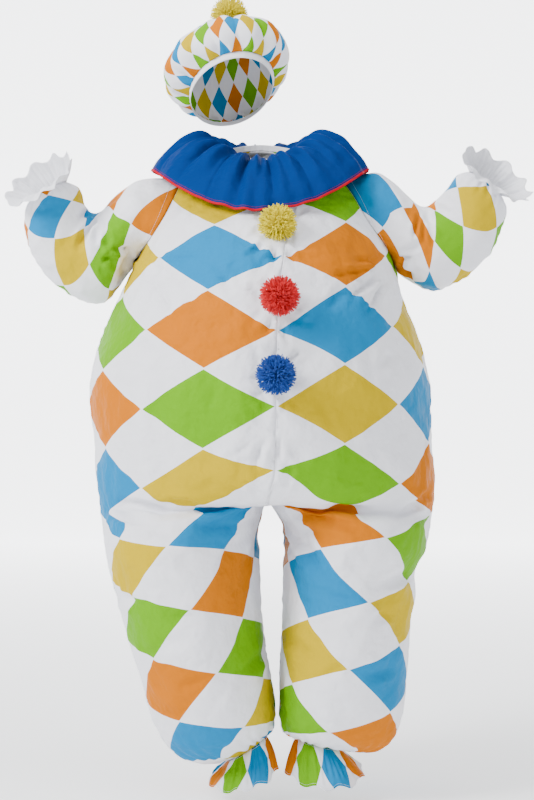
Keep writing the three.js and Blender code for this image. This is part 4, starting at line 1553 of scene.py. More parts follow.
def grow(source: Piece, group: Tree, **values: object) -> Piece:
    """Runs a geometry node group on an object and keeps the result as a plain mesh.

    Args:
        source: Object to run it on.
        group: The group.
        **values: Its inputs, by their names in small letters.

    Returns:
        The same object.
    """
    modifier = source.modifiers.new("grow", "NODES")
    modifier.node_group = group
    for item in group.interface.items_tree:
        if item.in_out == "INPUT" and item.name.lower() in values:
            modifier[item.identifier] = values[item.name.lower()]
    graph = bpy.context.evaluated_depsgraph_get()
    graph.update()
    mesh = bpy.data.meshes.new_from_object(source.evaluated_get(graph))
    old = source.data
    source.modifiers.clear()
    source.data = mesh
    bpy.data.meshes.remove(old)
    mesh.shade_smooth()
    return source


def sewing_line(points: Array, normals: Array, row: int, lift: float = THREAD_LIFT) -> Line:
    """Closed line of stitches along one row of a ring of cloth."""
    return points[row] + normals[row] * lift, normals[row], True


def path_object(name: str, lines: Sequence[Line]) -> Piece:
    """Object of edge lines with a direction away from the cloth.

    Args:
        name: Name of the object.
        lines: Points in millimetres, directions, and whether the line closes.

    Returns:
        The linked object.
    """
    points, ups, edges = [], [], []
    for line, up, closed in lines:
        first = sum(len(part) for part in points)
        count = len(line)
        last = count if closed else count - 1
        edges += [(first + i, first + (i + 1) % count) for i in range(last)]
        points.append(line)
        ups.append(up)
    mesh = bpy.data.meshes.new(name)
    mesh.from_pydata((np.concatenate(points) * MM).tolist(), edges, [])
    layer = mesh.attributes.new("up", "FLOAT_VECTOR", "POINT")
    layer.data.foreach_set("vector", np.concatenate(ups).astype(np.float32).ravel())
    return link(name, mesh)


@dataclass(frozen=True)
class Stitch:
    """Kind of stitch, or of other short bar, in millimetres.

    Attributes:
        pitch: Distance between two.
        length: Length of one.
        thickness: Thickness of the thread.
        lean: Turn of each out of the line, in radians.
        finish: Finish of the thread.
    """

    pitch: float = 3.6
    length: float = 2.7
    thickness: float = 0.6
    lean: float = 0.0
    finish: Finish = THREAD


HEM = Stitch()
SEAM = Stitch(pitch=4.2, length=3.0)
TAPE_EDGE = Stitch(finish=BINDING_TAPE)
TEETH = Stitch(pitch=1.5, length=4.6, thickness=1.0, lean=math.pi / 2, finish=ZIP_COIL)

class Workshop:
    """What all sub-assemblies share: the materials and the repeated pieces."""

    def __init__(self) -> None:
        """Builds the wardrobe and the groups."""
        self.wardrobe = Wardrobe()
        self.stitches = stitch_group()
        self.yarn = yarn_group()

    def finish(self, thing: Piece, finish: Finish | None, slot: str, *replaced: str) -> Piece:
        """Sets the material and the body of a piece.

        Args:
            thing: The piece.
            finish: Its finish, None to keep what it has.
            slot: Name of a material slot; not used.
            *replaced: Nodes that it stands for.

        Returns:
            The same piece.
        """
        if finish is not None:
            thing.data.materials.clear()
            thing.data.materials.append(self.wardrobe.material(finish))
        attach(thing, BODY)
        if replaced:
            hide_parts(*replaced)
        log.info("%s: %d faces", thing.name, len(thing.data.polygons))
        return thing

    def sew(self, name: str, lines: Sequence[Line], slot: str, stitch: Stitch = HEM) -> Piece:
        """Row of stitches along lines.

        Args:
            name: Name of the piece.
            lines: Points in millimetres, directions away from the cloth, and whether the line closes.
            slot: Name of a material slot.
            stitch: Kind of stitch.

        Returns:
            The piece.
        """
        thing = grow(
            path_object(name, lines),
            self.stitches,
            pitch=stitch.pitch * MM,
            length=stitch.length * MM,
            thickness=stitch.thickness * MM,
            lean=stitch.lean,
            material=self.wardrobe.material(stitch.finish),
        )
        return self.finish(thing, None, slot)


# Sub-assemblies


def panel_rows() -> Array:
    """Rows of a panel, close together at the armhole and where the legs part.

    Returns:
        The rows, from the neck to the ankle.
    """
    hole = ARMHOLE_ROW - ARMHOLE_ROWS * np.cos(np.linspace(0, math.pi, 49))
    parts = (
        np.linspace(0, 2.5, 17)[:-1],
        hole,
        np.linspace(6.4, 15.6, 76)[1:],
        np.linspace(15.6, 18.6, 31)[1:],
        np.linspace(18.6, LAST_ROW, 84)[1:],
    )
    return np.concatenate(parts)


@dataclass
class Panel:
    """One of the four panels of the suit.

    Attributes:
        side: Left or right.
        face: Front or back.
        columns: Faces across.
        gathers: Gathers across the ankle.
        gather_depth: Depth of these in millimetres.
        centre_seam: Gathers at the centre seam and the inseam.
        stitch_inset: Distance of its stitches from its edge.
    """

    side: Side
    face: Face
    columns: int = 76
    gathers: int = 11
    gather_depth: float = 3.6
    centre_seam: Pucker = Pucker(1.6, 26, 27, 1, 0.3)
    stitch_inset: float = 2.4
    points: Array = field(init=False)
    normals: Array = field(init=False)

    @property
    def name(self) -> str:
        """Name of the panel's node."""
        return f"{self.face.name.lower()}_{self.side.name.lower()}"

    def build(self, shop: Workshop) -> Piece:
        """Makes and dresses the panel.

        Args:
            shop: The shared workshop.

        Returns:
            The piece.
        """
        row, u = grid(panel_rows(), np.linspace(0, 1, self.columns + 1))
        base = panel_point(self.side, self.face, u, row)
        self.normals = grid_normals(base, self._inside(row), False)
        self.points = base + self.normals * self._height(base, u, row)[..., None]
        print_map = panel_print(self.side, self.face, u, row)
        thing = Shell(self.points, self.normals, print_map).build(f"cloth_{self.name}")
        shop.finish(thing, PRINTED_CLOTH, "suit_cloth", self.name)
        return thing

    def _height(self, base: Array, u: Array, row: Array) -> Array:
        """Height of all folds.

        Args:
            base: Points of the panel without folds.
            u: Place across.
            row: Place down.

        Returns:
            The height at each point.
        """
        side_seam = Pucker(1.8, 26, 31, 2 if self.side is Side.LEFT else 3, 1.4)
        across, down = arc(base, 1), arc(base, 0)
        outer = across[:, -1:] - across
        seams = self.centre_seam.relief(down[:, :1], across) + side_seam.relief(down[:, -1:], outer)
        height = creased(base, self.normals) + seams * ease((row - 0.6) / 1.5) * calm(base)
        height += self._ankle(u, row)
        height *= np.where(row > LAST_ROW - 0.4, 0.2, 1)
        beside = np.abs(row - ARMHOLE_ROW) < ARMHOLE_ROWS + 0.15
        return height * np.where(beside, ease(outer / 16), 1)

    def _ankle(self, u: Array, row: Array) -> Array:
        """Gathers of the leg towards the ankle elastic.

        Args:
            u: Place across.
            row: Place down.

        Returns:
            The height at each point.
        """
        strength = ease((row - 25.5) / 3.2)
        phase = self.gathers * u + 0.35 * np.sin(math.pi * 2 * u) + 0.2 * np.sin(math.pi * 6 * u)
        uneven = 0.75 + 0.25 * np.cos(math.pi * 4 * u + self.face.value)
        return self.gather_depth * strength * uneven * np.cos(2 * math.pi * phase)

    def _inside(self, row: Array) -> Array:
        """Points well inside the suit.

        Args:
            row: Place down.

        Returns:
            One point for each place.
        """
        leg = LEGS[self.side]
        at = row - CROTCH_ROW
        share = ease((row - CROTCH_ROW) / CROTCH_ROWS)
        leg_middle = (smooth(leg, "outer", at) + smooth(leg, "inner", at)) / 2
        x = mix(smooth(TORSO, "middle", row), leg_middle, share)
        return stack(x, 0.0, mix(core_height(row), smooth(leg, "z", at), share))

    def _edge(self, column: int) -> Line:
        """Line beside an edge of the panel for a row of stitches.

        Args:
            column: Column of the edge.

        Returns:
            The line.
        """
        line, other = self.points[:, column], self.points[:, 2 if column == 0 else -3]
        up = self.normals[:, column]
        return line + unit(other - line) * self.stitch_inset + up * THREAD_LIFT, up, False

    def sew(self, shop: Workshop) -> None:
        """Adds the stitches beside both edges."""
        shop.sew(f"sewing_{self.name}", [self._edge(0), self._edge(-1)], "suit_cloth", SEAM)


# Rows of SLEEVES, and the turn in degrees at which the print has its middle line there
PRINT_TURNS = {
    Side.RIGHT: ((0, 2.3, 5, 11), (90, 102, 106, 90)),
    Side.LEFT: ((0, 1, 4.5, 11), (60, 55, 88, 90)),
}


@dataclass
class Sleeve:
    """One sleeve, from the armhole to the wrist.

    Attributes:
        side: Left or right.
        rows: Faces down.
        columns: Faces round.
        cap_rows: Rows of points above the first row of SLEEVES.
        periods: Units of the print round the sleeve.
        gathers: Gathers round the wrist.
        gather_depth: Depth of these in millimetres.
        underarm: Gathers at the underarm seam.
        radius, low_radius: Usual radius of the sleeve, round it and at the underarm seam.
    """

    side: Side
    rows: int = 108
    columns: int = 112
    cap_rows: int = 15
    periods: float = 7.2
    gathers: int = 21
    gather_depth: float = 3.0
    underarm: Pucker = Pucker(1.6, 22, 28, 8, 1.8)
    radius: float = 100
    low_radius: float = 95
    points: Array = field(init=False)
    normals: Array = field(init=False)

    @property
    def name(self) -> str:
        """Name of the sleeve's node."""
        return f"sleeve_{self.side.name.lower()}"

    @property
    def last(self) -> int:
        """Last row of its table."""
        return len(SLEEVES[self.side]["top_x"]) - 1

    def build(self, shop: Workshop) -> Piece:
        """Makes and dresses the sleeve.

        Args:
            shop: The shared workshop.

        Returns:
            The piece.
        """
        cap = np.linspace(0, 1, self.cap_rows + 1)[:-1]
        at = np.concatenate((cap, np.linspace(1, self.last, self.rows - self.cap_rows)))
        row, turn = grid(at, ring(self.columns) - math.pi)
        base = sleeve_point(self.side, turn, row)
        self.normals = grid_normals(base, base.mean(axis=1, keepdims=True), True)
        self.points = base + self.normals * self._height(base, turn, row)[..., None]
        thing = Shell(self.points, self.normals, self._print(at), wrap=True).build(f"cloth_{self.name}")
        shop.finish(thing, PRINTED_CLOTH, "suit_cloth", self.name)
        return thing

    def _height(self, base: Array, turn: Array, row: Array) -> Array:
        """Height of all folds.

        Args:
            base: Points of the sleeve without folds.
            turn: Angle from the top.
            row: Place down.

        Returns:
            The height at each point.
        """
        armhole = Pucker(2.2, 32, 29, 5 + self.side.value)
        down = arc(base, 0)
        from_seam = (math.pi - np.abs(turn)) * self.low_radius
        height = (creased(base, self.normals) + self.underarm.relief(down, from_seam)) * ease(row / 0.8)
        height += armhole.relief(turn * self.radius, down) * ease(down / 8)
        phase = self.gathers * turn + 0.6 * np.sin(turn * 2 + 1) + 0.4 * np.sin(turn * 5)
        uneven = 0.75 + 0.25 * np.cos(turn * 3 + 1)
        near_wrist = ease((row - self.last + 2.4) / 2.0)
        height += self.gather_depth * uneven * near_wrist * np.cos(phase)
        return height * np.where(row > self.last - 0.15, 0.2, 1) * ease(down / 16)

    def _print(self, at: Array) -> Array:
        """Print coordinates with one column more than the grid.

        Args:
            at: Places down.

        Returns:
            Both coordinates on a last axis of two.
        """
        row, turn = grid(at, ring(self.columns, True) - math.pi)
        column = SLEEVES[self.side]["print"]
        p = np.interp(row, np.arange(len(column)), column)
        q = (turn - np.radians(np.interp(row, *PRINT_TURNS[self.side]))) * self.periods / (2 * math.pi)
        return np.stack((p, q), axis=-1)

    def sew(self, shop: Workshop) -> None:
        """Adds the stitches at the armhole."""
        line = sewing_line(self.points, self.normals, 2)
        shop.sew(f"sewing_{self.name}", [line], "suit_cloth", SEAM)


@dataclass(frozen=True)
class Flare:
    """Ruffle at a wrist or an ankle.

    Attributes:
        name: Name of its node.
        start, end: Centre of its elastic and of its mouth, in millimetres.
        start_axis, end_axis: Direction at these.
        narrow, wide: Radius at these.
        cloth: Length of its strip of cloth, in metres; not used.
        wave: Height of its ripples.
        ripples: Number of ripples.
        finish: Its finish.
        slot: Name of a material slot.
        columns, rows: Faces round and down.
        gathers: Gathers at its elastic.
        periods: Units of the print round it.
        first: Place of its elastic in the print.
    """

    name: str
    start: Triple
    end: Triple
    start_axis: Triple
    end_axis: Triple
    narrow: float
    wide: float
    cloth: float
    wave: float
    ripples: int
    finish: Finish
    slot: str
    columns: int = 240
    rows: int = 20
    gathers: int = 21
    periods: int = 14
    first: float = 13.5

    def place(self, turn: Array, v: Array) -> Array:
        """Points of the ruffle.

        Args:
            turn: Angle from the front.
            v: 0 at the elastic to 1 at the mouth.

        Returns:
            The points.
        """
        axis = unit(mix(np.array(self.start_axis), np.array(self.end_axis), v[..., None]))
        front = unit(np.array([0.0, -1.0, 0.0]) + axis * axis[..., 1:2])
        sideways = np.cross(axis, front)
        ripple = 0.5 * self.wave * v * np.cos(self.ripples * turn)
        ripple += 0.75 * v * np.sin(3 * self.ripples * turn + 1)
        ripple += 1.6 * np.sin(math.pi * v) * np.sin(4 * self.ripples * turn + 2 * np.sin(2 * turn))
        wobble = np.cos(self.gathers * turn + 0.6 * np.sin(turn * 2 + 1))
        gather = 2.6 * np.sin(math.pi * (1 - v)) ** 0.8 * wobble * (1 - v)
        radius = mix(self.narrow, self.wide, v**0.85) + ripple + gather
        sway = 0.75 * self.wave * v * np.cos(self.ripples * turn + 0.9 + 0.5 * np.sin(3 * turn))
        centre = mix(np.array(self.start), np.array(self.end), v[..., None])
        x, y = radius * np.sin(turn), radius * np.cos(turn)
        return centre + front * y[..., None] + sideways * x[..., None] + axis * sway[..., None]

    def build(self, shop: Workshop) -> Piece:
        """Makes and dresses the ruffle with its hem stitches.

        Args:
            shop: The shared workshop.

        Returns:
            The piece.
        """
        down = np.linspace(0, 1, self.rows + 1)
        v, turn = grid(down, ring(self.columns))
        points = self.place(turn, v)
        normals = grid_normals(points, repeated(self.end, points), True)
        v, turn = grid(down, ring(self.columns, True))
        print_map = np.stack((turn * self.periods / (2 * math.pi), self.first + v), axis=-1)
        thing = Shell(points, normals, print_map, wall=0.7, wrap=True).build(f"cloth_{self.name}")
        shop.finish(thing, self.finish, self.slot, self.name)
        lines = [sewing_line(points, normals, k) for k in (-2, 1)]
        shop.sew(f"sewing_{self.name}", lines, self.slot)
        return thing


WHITE_FRILL = (WHITE_CLOTH, "white_cloth")
PRINTED_FRILL = (PRINTED_CLOTH, "suit_cloth")
FLARES = (
    Flare(
        "right_wrist_flare", (-476.7, -66, -82.6), (-497, -96, -60), (-0.47, 0, 0.88), (-0.5, -0.5, 0.7),
        42, 87, 0.48, 9, 10, *WHITE_FRILL,
    ),
    Flare(
        "left_wrist_flare", (510.3, -66, -67.6), (534, -96, -50), (0.607, 0, 0.794), (0.5, -0.5, 0.7),
        42, 90, 0.5, 9, 10, *WHITE_FRILL,
    ),
    Flare(
        "right_ankle_flare", (-28.7, 8, -1357.4), (-38, -8, -1414), (0.528, 0, -0.849), (0.2, 0.3, -0.93),
        51, 80, 0.45, 6.5, 9, *PRINTED_FRILL,
    ),
    Flare(
        "left_ankle_flare", (132.9, 8, -1344.5), (149, -8, -1406), (-0.238, 0, -0.971), (-0.05, 0.3, -0.95),
        50, 90, 0.54, 6.5, 9, *PRINTED_FRILL,
    ),
)


@dataclass
class Collar:
    """Ruff with its red binding, and the neck band inside it.

    Attributes:
        gathers: Gathers round the ruff.
        rows, columns: Faces of the ruff down and round.
        print_scale: Length of a unit of the ruff's map, in millimetres.
        thread_lift: Height of its stitches over the cloth.
        tape_out, tape_half, tape_thick: Middle, half width and half thickness of the binding's section.
        tape_sides: Faces round that section.
        band_columns, band_rows: Faces of the neck band round and points up.
        band_height: Height of the neck band.
    """

    gathers: int = 18
    rows: int = 40
    columns: int = 540
    print_scale: float = 80
    thread_lift: float = 0.4
    tape_out: float = 2.2
    tape_half: float = 3.0
    tape_thick: float = 1.5
    tape_sides: int = 12
    band_columns: int = 144
    band_rows: int = 9
    band_height: float = 13.6

    def build(self, shop: Workshop) -> None:
        """Makes and dresses the ruff, the binding and the neck band.

        Args:
            shop: The shared workshop.
        """
        points, normals = self._surface()
        length = arc(points, 0)
        length = np.concatenate((length, length[:, :1]), axis=1)
        round_ruff = np.broadcast_to(np.arange(self.columns + 1) / self.columns * 40, length.shape)
        print_map = np.stack((round_ruff, length / self.print_scale), axis=-1)
        ruff = Shell(points, normals, print_map, wrap=True).build("cloth_ruff")
        shop.finish(ruff, RUFF_CLOTH, "ruff_cloth", "ruff")
        self._binding(shop, points, normals)
        rim, neck = (sewing_line(points, normals, k, self.thread_lift) for k in (-2, 2))
        shop.sew("sewing_binding", [rim], "binding_tape", TAPE_EDGE)
        shop.sew("sewing_ruff", [neck], "ruff_cloth")
        self._neck_band(shop)

    def _surface(self) -> tuple[Array, Array]:
        """Lays out the gathered ruff.

        Returns:
            Its points and outward directions.
        """
        row, turn = grid(np.linspace(0, 6, self.rows + 1), ring(self.columns))
        base = ruff_point(turn, row)
        normals = grid_normals(base, repeated((0.0, 0.0, -400.0), base), True)
        uneven = turn + 0.035 * np.sin(3 * turn + 1) + 0.02 * np.sin(7 * turn + 2)
        half = self.gathers * uneven / 2
        crest = 2 * np.abs(np.cos(half)) ** 0.75 - 1.1
        second = 0.3 * np.cos(3 * half + 0.8)
        second += 0.2 * np.cos(5 * half + 2.1 * np.sin(2 * turn)) * ease((5.2 - row) / 2)
        depth = smooth(RUFF, "wave", row) * (0.85 + 0.3 * np.sin(5 * turn + 1) * np.sin(2 * turn))
        ripple = np.sin(29 * turn + 2 * np.sin(3 * turn)) * (0.6 + 0.4 * np.sin(4 * turn + 2))
        ripple *= 3.0 * ease((row - 1.5) / 3)
        soft = 1.2 * waves(base, 60, 21) * ease(row / 1.5)
        height = depth * (crest + second) + ripple + soft * ease((6 - row) / 1.5)
        return base + normals * height[..., None], normals

    def _binding(self, shop: Workshop, points: Array, normals: Array) -> None:
        """Folds the tape round the rim.

        Args:
            shop: The shared workshop.
            points: Points of the ruff.
            normals: Its outward directions.
        """
        rim = points[-1] - normals[-1] * self.thread_lift
        out = unit(points[-1] - points[-2])
        up = unit(np.cross(np.cross(out, normals[-1]), out))
        turns = ring(self.tape_sides)[None, :, None]
        wide = self.tape_out + self.tape_half * np.cos(turns)
        tube = rim[:, None] + out[:, None] * wide + up[:, None] * (self.tape_thick * np.sin(turns))
        tape = closed_tube("binding_ruff", tube)
        shop.finish(tape, BINDING_TAPE, "binding_tape", "ruff_binding")

    def _neck_band(self, shop: Workshop) -> None:
        """Makes and dresses the short standing band.

        Args:
            shop: The shared workshop.
        """
        share, turn = grid(np.linspace(0, 1, self.band_rows), ring(self.band_columns))
        base = torso_point(turn, np.zeros_like(turn))
        radius = 1 - 0.03 * share + 0.004 * np.cos(31 * turn + np.sin(4 * turn))
        z = base[..., 2] + 0.4 + self.band_height * share
        points = np.stack((base[..., 0] * radius, base[..., 1] * radius, z), axis=-1)
        normals = unit(stack(points[..., 0], points[..., 1], 0.0))
        band = Shell(points, normals, wall=1.2, wrap=True).build("cloth_neck_band")
        shop.finish(band, BAND_CLOTH, "white_cloth", "neck_band")


@dataclass
class Hat:
    """Puffed hat with its band.

    Attributes:
        gathers: Gathers round the crown.
        rows, columns: Faces of the crown down and round.
        periods: Units of the print round the crown.
        half_height: Half the height of a diamond, in millimetres.
        middle: A point inside the crown.
        top: Direction of its top.
        band_columns, band_rows: Faces of the band round and points down.
        band_height: Height of the band.
    """

    gathers: int = 14
    rows: int = 66
    columns: int = 336
    periods: int = 48
    half_height: float = 40.0
    middle: Triple = (-76.0, 10.0, 205.0)
    top: Triple = (0.0, 0.28, 0.96)
    band_columns: int = 160
    band_rows: int = 9
    band_height: float = 16

    def build(self, shop: Workshop) -> None:
        """Makes and dresses the crown and the band.

        Args:
            shop: The shared workshop.
        """
        row, turn = grid(np.linspace(0, 8, self.rows + 1), ring(self.columns))
        base = hat_point(turn, row)
        normals = grid_normals(base, repeated(self.middle, base), True)
        normals[-1] = unit(np.array(self.top))
        points = base + normals * self._height(base, turn, row)[..., None]
        length = arc(base, 0)
        length = np.concatenate((length, length[:, :1]), axis=1)
        wrap = np.arange(self.columns + 1) / self.columns * self.periods
        print_map = np.stack((np.broadcast_to(wrap, length.shape), length / self.half_height), axis=-1)
        crown = Shell(points, normals, print_map, wrap=True).build("cloth_hat_crown")
        weld_points(crown)
        shop.finish(crown, HAT_CLOTH, "hat_cloth", "hat_crown")
        self._band(shop)

    def _height(self, base: Array, turn: Array, row: Array) -> Array:
        """Height of the gathers.

        Args:
            base: Points of the crown without gathers.
            turn: Angle from the front.
            row: Row of HAT.

        Returns:
            The height at each point.
        """
        uneven = turn + 0.05 * np.sin(3 * turn + 0.5)
        crest = 2 * np.abs(np.cos(self.gathers * uneven / 2)) ** 0.8 - 1.1
        fine = 1.8 * np.cos(31 * turn + np.sin(5 * turn)) * ease((2.2 - row) / 1.6) * ease(row / 0.3)
        top = 1.6 * np.cos(23 * turn + np.sin(4 * turn)) * ease((row - 5.6) / 1.6) * ease((7.7 - row) / 0.8)
        height = smooth(HAT, "wave", row) * crest * ease((7.9 - row) / 0.8) + fine + top
        return height + 1.8 * waves(base, 70, 31) * ease(row) * ease((7.8 - row) / 1.5)

    def _band(self, shop: Workshop) -> None:
        """Makes and dresses the white band at the opening, with its stitches.

        Args:
            shop: The shared workshop.
        """
        share, turn = grid(np.linspace(0, 1, self.band_rows), ring(self.band_columns))
        tilt = math.radians(float(HAT["tilt"][0]))
        down = np.array([0.0, -math.sin(tilt), -math.cos(tilt)])
        middle = np.array([HAT[name][0] for name in "xyz"])
        base = hat_point(turn, np.zeros_like(turn))
        scale = 1 - 0.03 * share + 0.005 * np.cos(37 * turn + np.sin(3 * turn)) * (1 - share)
        fall = 1.0 + self.band_height * share
        points = middle + (base - middle) * scale[..., None] + down * fall[..., None]
        normals = unit(points - (middle + down * self.band_height / 2))
        band = Shell(points, normals, wall=1.2, wrap=True).build("cloth_hat_band")
        shop.finish(band, BAND_CLOTH, "white_cloth", "hat_band")
        lines = [sewing_line(points, normals, k, 0.3) for k in (1, 7)]
        shop.sew("sewing_hat_band", lines, "white_cloth")


@dataclass(frozen=True)
class Pompom:
    """Ball of cut yarn, sewn on.

    Attributes:
        name: Name of its node.
        centre: Its centre, in millimetres.
        axis: Direction away from the cloth.
        finish: Its yarn.
        slot: Name of a material slot.
        seed: Seed of its strands.
        count: Number of strands.
        core: Radius of the ball that they grow on.
        reach: Length of a strand.
        thickness: Thickness of a strand.
        spread: How far they stray from straight out.
        flat: Share of the radius at which the ball is flat against the cloth.
    """

    name: str
    centre: Triple
    axis: Triple
    finish: Yarn
    slot: str
    seed: int
    count: int = 1000
    core: float = 22.0
    reach: float = 21.5
    thickness: float = 2.4
    spread: float = 0.4
    flat: float = 0.72

    def build(self, shop: Workshop) -> Piece:
        """Makes and dresses the ball.

        Args:
            shop: The shared workshop.

        Returns:
            The piece.
        """
        ball = link(f"yarn_{self.name}", self._core())
        values = {"length": self.reach * MM, "thickness": self.thickness * MM, "spread": self.spread}
        material = shop.wardrobe.material(self.finish)
        grow(ball, shop.yarn, seed=self.seed, material=material, **values)
        return shop.finish(ball, None, self.slot, self.name)

    def _core(self) -> bpy.types.Mesh:
        """Ball of evenly spread points, flat where it is sewn on.

        Returns:
            The mesh.
        """
        k = np.arange(self.count) + 0.5
        height = 1 - 2 * k / self.count
        angle = k * math.pi * (3 - math.sqrt(5))
        round_part = np.sqrt(1 - height**2)
        work = bmesh.new()
        for point in np.stack((round_part * np.cos(angle), round_part * np.sin(angle), height), axis=-1):
            work.verts.new(point)
        bmesh.ops.convex_hull(work, input=work.verts)
        mesh = bpy.data.meshes.new(self.name)
        work.to_mesh(mesh)
        work.free()
        places = np.empty(len(mesh.vertices) * 3)
        mesh.vertices.foreach_get("co", places)
        places = places.reshape(-1, 3)
        axis = unit(np.array(self.axis))
        low = np.clip(places @ axis, -self.flat, None) - places @ axis
        places = (places + low[:, None] * axis) * self.core + np.array(self.centre)
        mesh.vertices.foreach_set("co", (places * MM).ravel())
        mesh.update()
        return mesh


POMPOMS = (
    Pompom("pompom_yellow", (38.6, -275, -176), (0.1, -0.74, 0.66), YELLOW_YARN, "yarn_yellow", 11),
    Pompom("pompom_red", (42.8, -385, -338), (0.05, -0.95, 0.3), RED_YARN, "yarn_red", 12),
    Pompom("pompom_blue", (34.9, -418, -504), (0.03, -1.0, 0.04), BLUE_YARN, "yarn_blue", 13),
    Pompom("pompom_hat", (-71, 30, 333), (0, 0.27, 0.963), YELLOW_YARN, "yarn_yellow", 14),
)


@dataclass
class Zip:
    """Zip at the back: two tapes, the coil and the stitches, round the solids' slider and pull tab.

    Attributes:
        top, bottom: Rows of TORSO at which it starts and ends.
        rows, columns: Points of a tape down and across.
        inner, outer: Distance of a tape's edges from the centre line.
        coil_lift: Height of the coil over the suit.
    """

    top: float = 4.3
    bottom: float = 13.2
    rows: int = 161
    columns: int = 7
    inner: float = 0.8
    outer: float = 10.5
    coil_lift: float = 1.6

    def build(self, shop: Workshop) -> None:
        """Makes and dresses the zip.

        Args:
            shop: The shared workshop.
        """
        at = np.linspace(self.top, self.bottom, self.rows)
        lines = []
        spans = (("right", -self.outer, -self.inner, 1), ("left", self.inner, self.outer, 5))
        for label, low, high, k in spans:
            row, x = grid(at, np.linspace(low, high, self.columns))
            angle = math.pi - x / smooth(TORSO, "half", row)
            normals = torso_normal(angle, row)
            points = torso_point(angle, row) + normals
            strip = Shell(points, normals, wall=0.6).build(f"zip_tape_{label}")
            shop.finish(strip, ZIP_TAPE, "zip_coil", "zip_chain")
            lines.append((points[:, k] + normals[:, k] * 0.2, normals[:, k], False))
        angle = np.full(self.rows, math.pi)
        up = torso_normal(angle, at)
        coil = torso_point(angle, at) + up * self.coil_lift
        shop.sew("zip_coil_teeth", [(coil, up, False)], "zip_coil", TEETH)
        shop.sew("sewing_zip", lines, "zip_coil")


@dataclass
class Suit:
    """Panels, sleeves, ruffles and their seams."""

    panels: list[Panel] = field(default_factory=lambda: [Panel(side, face) for face in Face for side in Side])
    sleeves: list[Sleeve] = field(default_factory=lambda: [Sleeve(side) for side in Side])

    def build(self, shop: Workshop) -> None:
        """Makes and dresses the suit.

        Args:
            shop: The shared workshop.
        """
        for part in (*self.panels, *self.sleeves, *FLARES):
            part.build(shop)
        for part in (*self.panels, *self.sleeves):
            part.sew(shop)


@dataclass(frozen=True)
class Hardware:
    """Solids that stay in view, with their finishes."""

    finishes: tuple[tuple[str, Hard], ...] = (
        ("zip_slider", ZIP_METAL),
        ("zip_pull_tab", ZIP_METAL),
        ("air_inlet_guard", GUARD_PLASTIC),
    )

    def dress(self, shop: Workshop) -> None:
        """Gives each solid its finish.

        Args:
            shop: The shared workshop.
        """
        for name, finish in self.finishes:
            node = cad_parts[name]
            node.data.materials.clear()
            node.data.materials.append(shop.wardrobe.material(finish))
            log.info("%s: %s", name, finish.name)


# Scene, in metres


@dataclass(frozen=True)
class Backdrop:
    """Pale floor that curves up into a bright wall far behind.

    Attributes:
        floor: Height of the floor.
        half: Half its width, and its reach to the front.
        bend_start: Distance at which it starts to curve up.
        bend: Radius of the curve.
        top: Height of the wall.
    """

    floor: float = -1.474
    half: float = 12
    bend_start: float = 8
    bend: float = 2
    top: float = 9

    def build(self, shop: Workshop) -> None:
        """Makes and dresses the sweep of paper.

        Args:
            shop: The shared workshop.
        """
        angle = np.linspace(0.06, math.pi / 2, 24)
        wall = self.bend_start + self.bend
        flat = np.linspace(-self.half, self.bend_start, 24)
        depth = np.concatenate((flat, self.bend_start + self.bend * np.sin(angle), np.full(8, wall)))
        rise = np.linspace(self.bend + 0.5, self.top, 8)
        rise = np.concatenate((np.zeros(24), self.bend * (1 - np.cos(angle)), rise))
        across = np.linspace(-self.half, self.half, 9)
        vertices = [(x, y, z + self.floor) for y, z in zip(depth, rise) for x in across]
        n = len(across)
        firsts = [r * n + c for r in range(len(depth) - 1) for c in range(n - 1)]
        mesh = bpy.data.meshes.new("backdrop")
        mesh.from_pydata(vertices, [], [(a, a + 1, a + n + 1, a + n) for a in firsts])
        mesh.shade_smooth()
        mesh.materials.append(shop.wardrobe.material(BACKDROP_PAPER))
        link("backdrop", mesh)


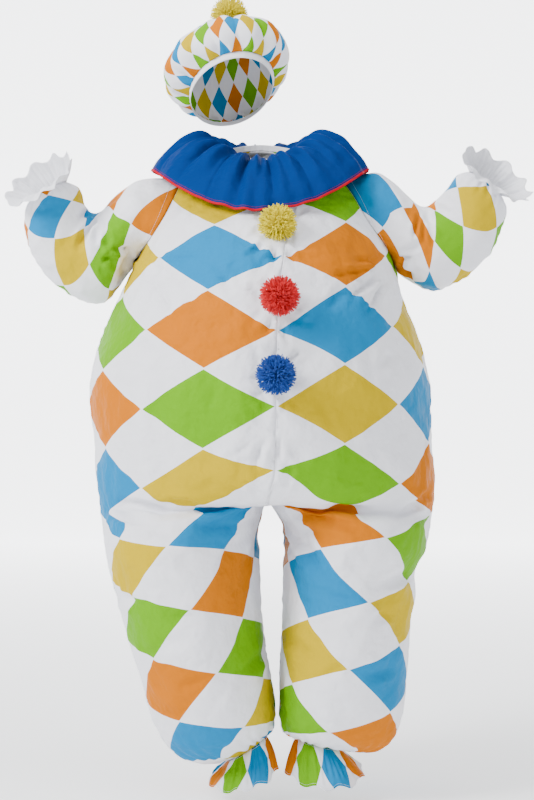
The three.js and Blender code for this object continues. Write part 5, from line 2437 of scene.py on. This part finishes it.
@dataclass(frozen=True)
class Lamp:
    """Soft square lamp at a place, aimed at a point."""

    name: str
    place: Triple
    aim: Triple
    size: float
    watts: float

    def build(self) -> None:
        """Adds the lamp."""
        data = bpy.data.lights.new(self.name, "AREA")
        data.size = self.size
        data.energy = self.watts
        lamp = bpy.data.objects.new(self.name, data)
        lamp.location = self.place
        aim = Vector(self.aim) - Vector(self.place)
        lamp.rotation_euler = aim.to_track_quat("-Z", "Y").to_euler()
        bpy.context.scene.collection.objects.link(lamp)


@dataclass(frozen=True)
class Studio:
    """Lamps, soft world light and the camera of the front view.

    Attributes:
        lamps: The lamps.
        sky: Colour of the world light.
        sky_strength: Its strength.
        camera_x: How far the camera stands to the left side.
        sensor: Width of its sensor, in millimetres.
        view_height: Height of the picture in millimetres, at the suit.
        reach: Distance that it sees.
    """

    lamps: tuple[Lamp, ...] = (
        Lamp("key", (-3.4, -2.8, 2.2), (0, 0, -0.6), 1.8, 410),
        Lamp("fill", (3.2, -3.4, 0.6), (0, 0, -0.7), 2.6, 62),
        Lamp("top", (0, -0.4, 3.4), (0, 0, -0.5), 3.0, 125),
    )
    sky: Triple = (0.95, 0.97, 1.0)
    sky_strength: float = 0.55
    camera_x: float = 0.016
    sensor: float = 36.0
    view_height: float = 1840
    reach: float = 50

    def build(self) -> None:
        """Adds the lights and the camera."""
        for lamp in self.lamps:
            lamp.build()
        world = bpy.data.worlds.new("studio")
        world.use_nodes = True
        background = world.node_tree.nodes["Background"]
        background.inputs["Color"].default_value = rgba(self.sky)
        background.inputs["Strength"].default_value = self.sky_strength
        bpy.context.scene.world = world
        data = bpy.data.cameras.new("camera")
        data.sensor_width = self.sensor
        data.lens = self.sensor * VIEW_DISTANCE / self.view_height
        data.clip_end = self.reach
        camera = bpy.data.objects.new("camera", data)
        camera.location = (self.camera_x, -VIEW_DISTANCE * MM, VIEW_HEIGHT * MM)
        camera.rotation_euler = (math.pi / 2, 0, 0)
        bpy.context.scene.collection.objects.link(camera)
        bpy.context.scene.camera = camera


def main() -> None:
    """Builds all sub-assemblies in order."""
    shop = Workshop()
    for part in (Suit(), Collar(), Hat(), *POMPOMS, Zip()):
        part.build(shop)
    Hardware().dress(shop)
    Backdrop().build(shop)
    Studio().build()


if __name__ == "__main__":
    main()
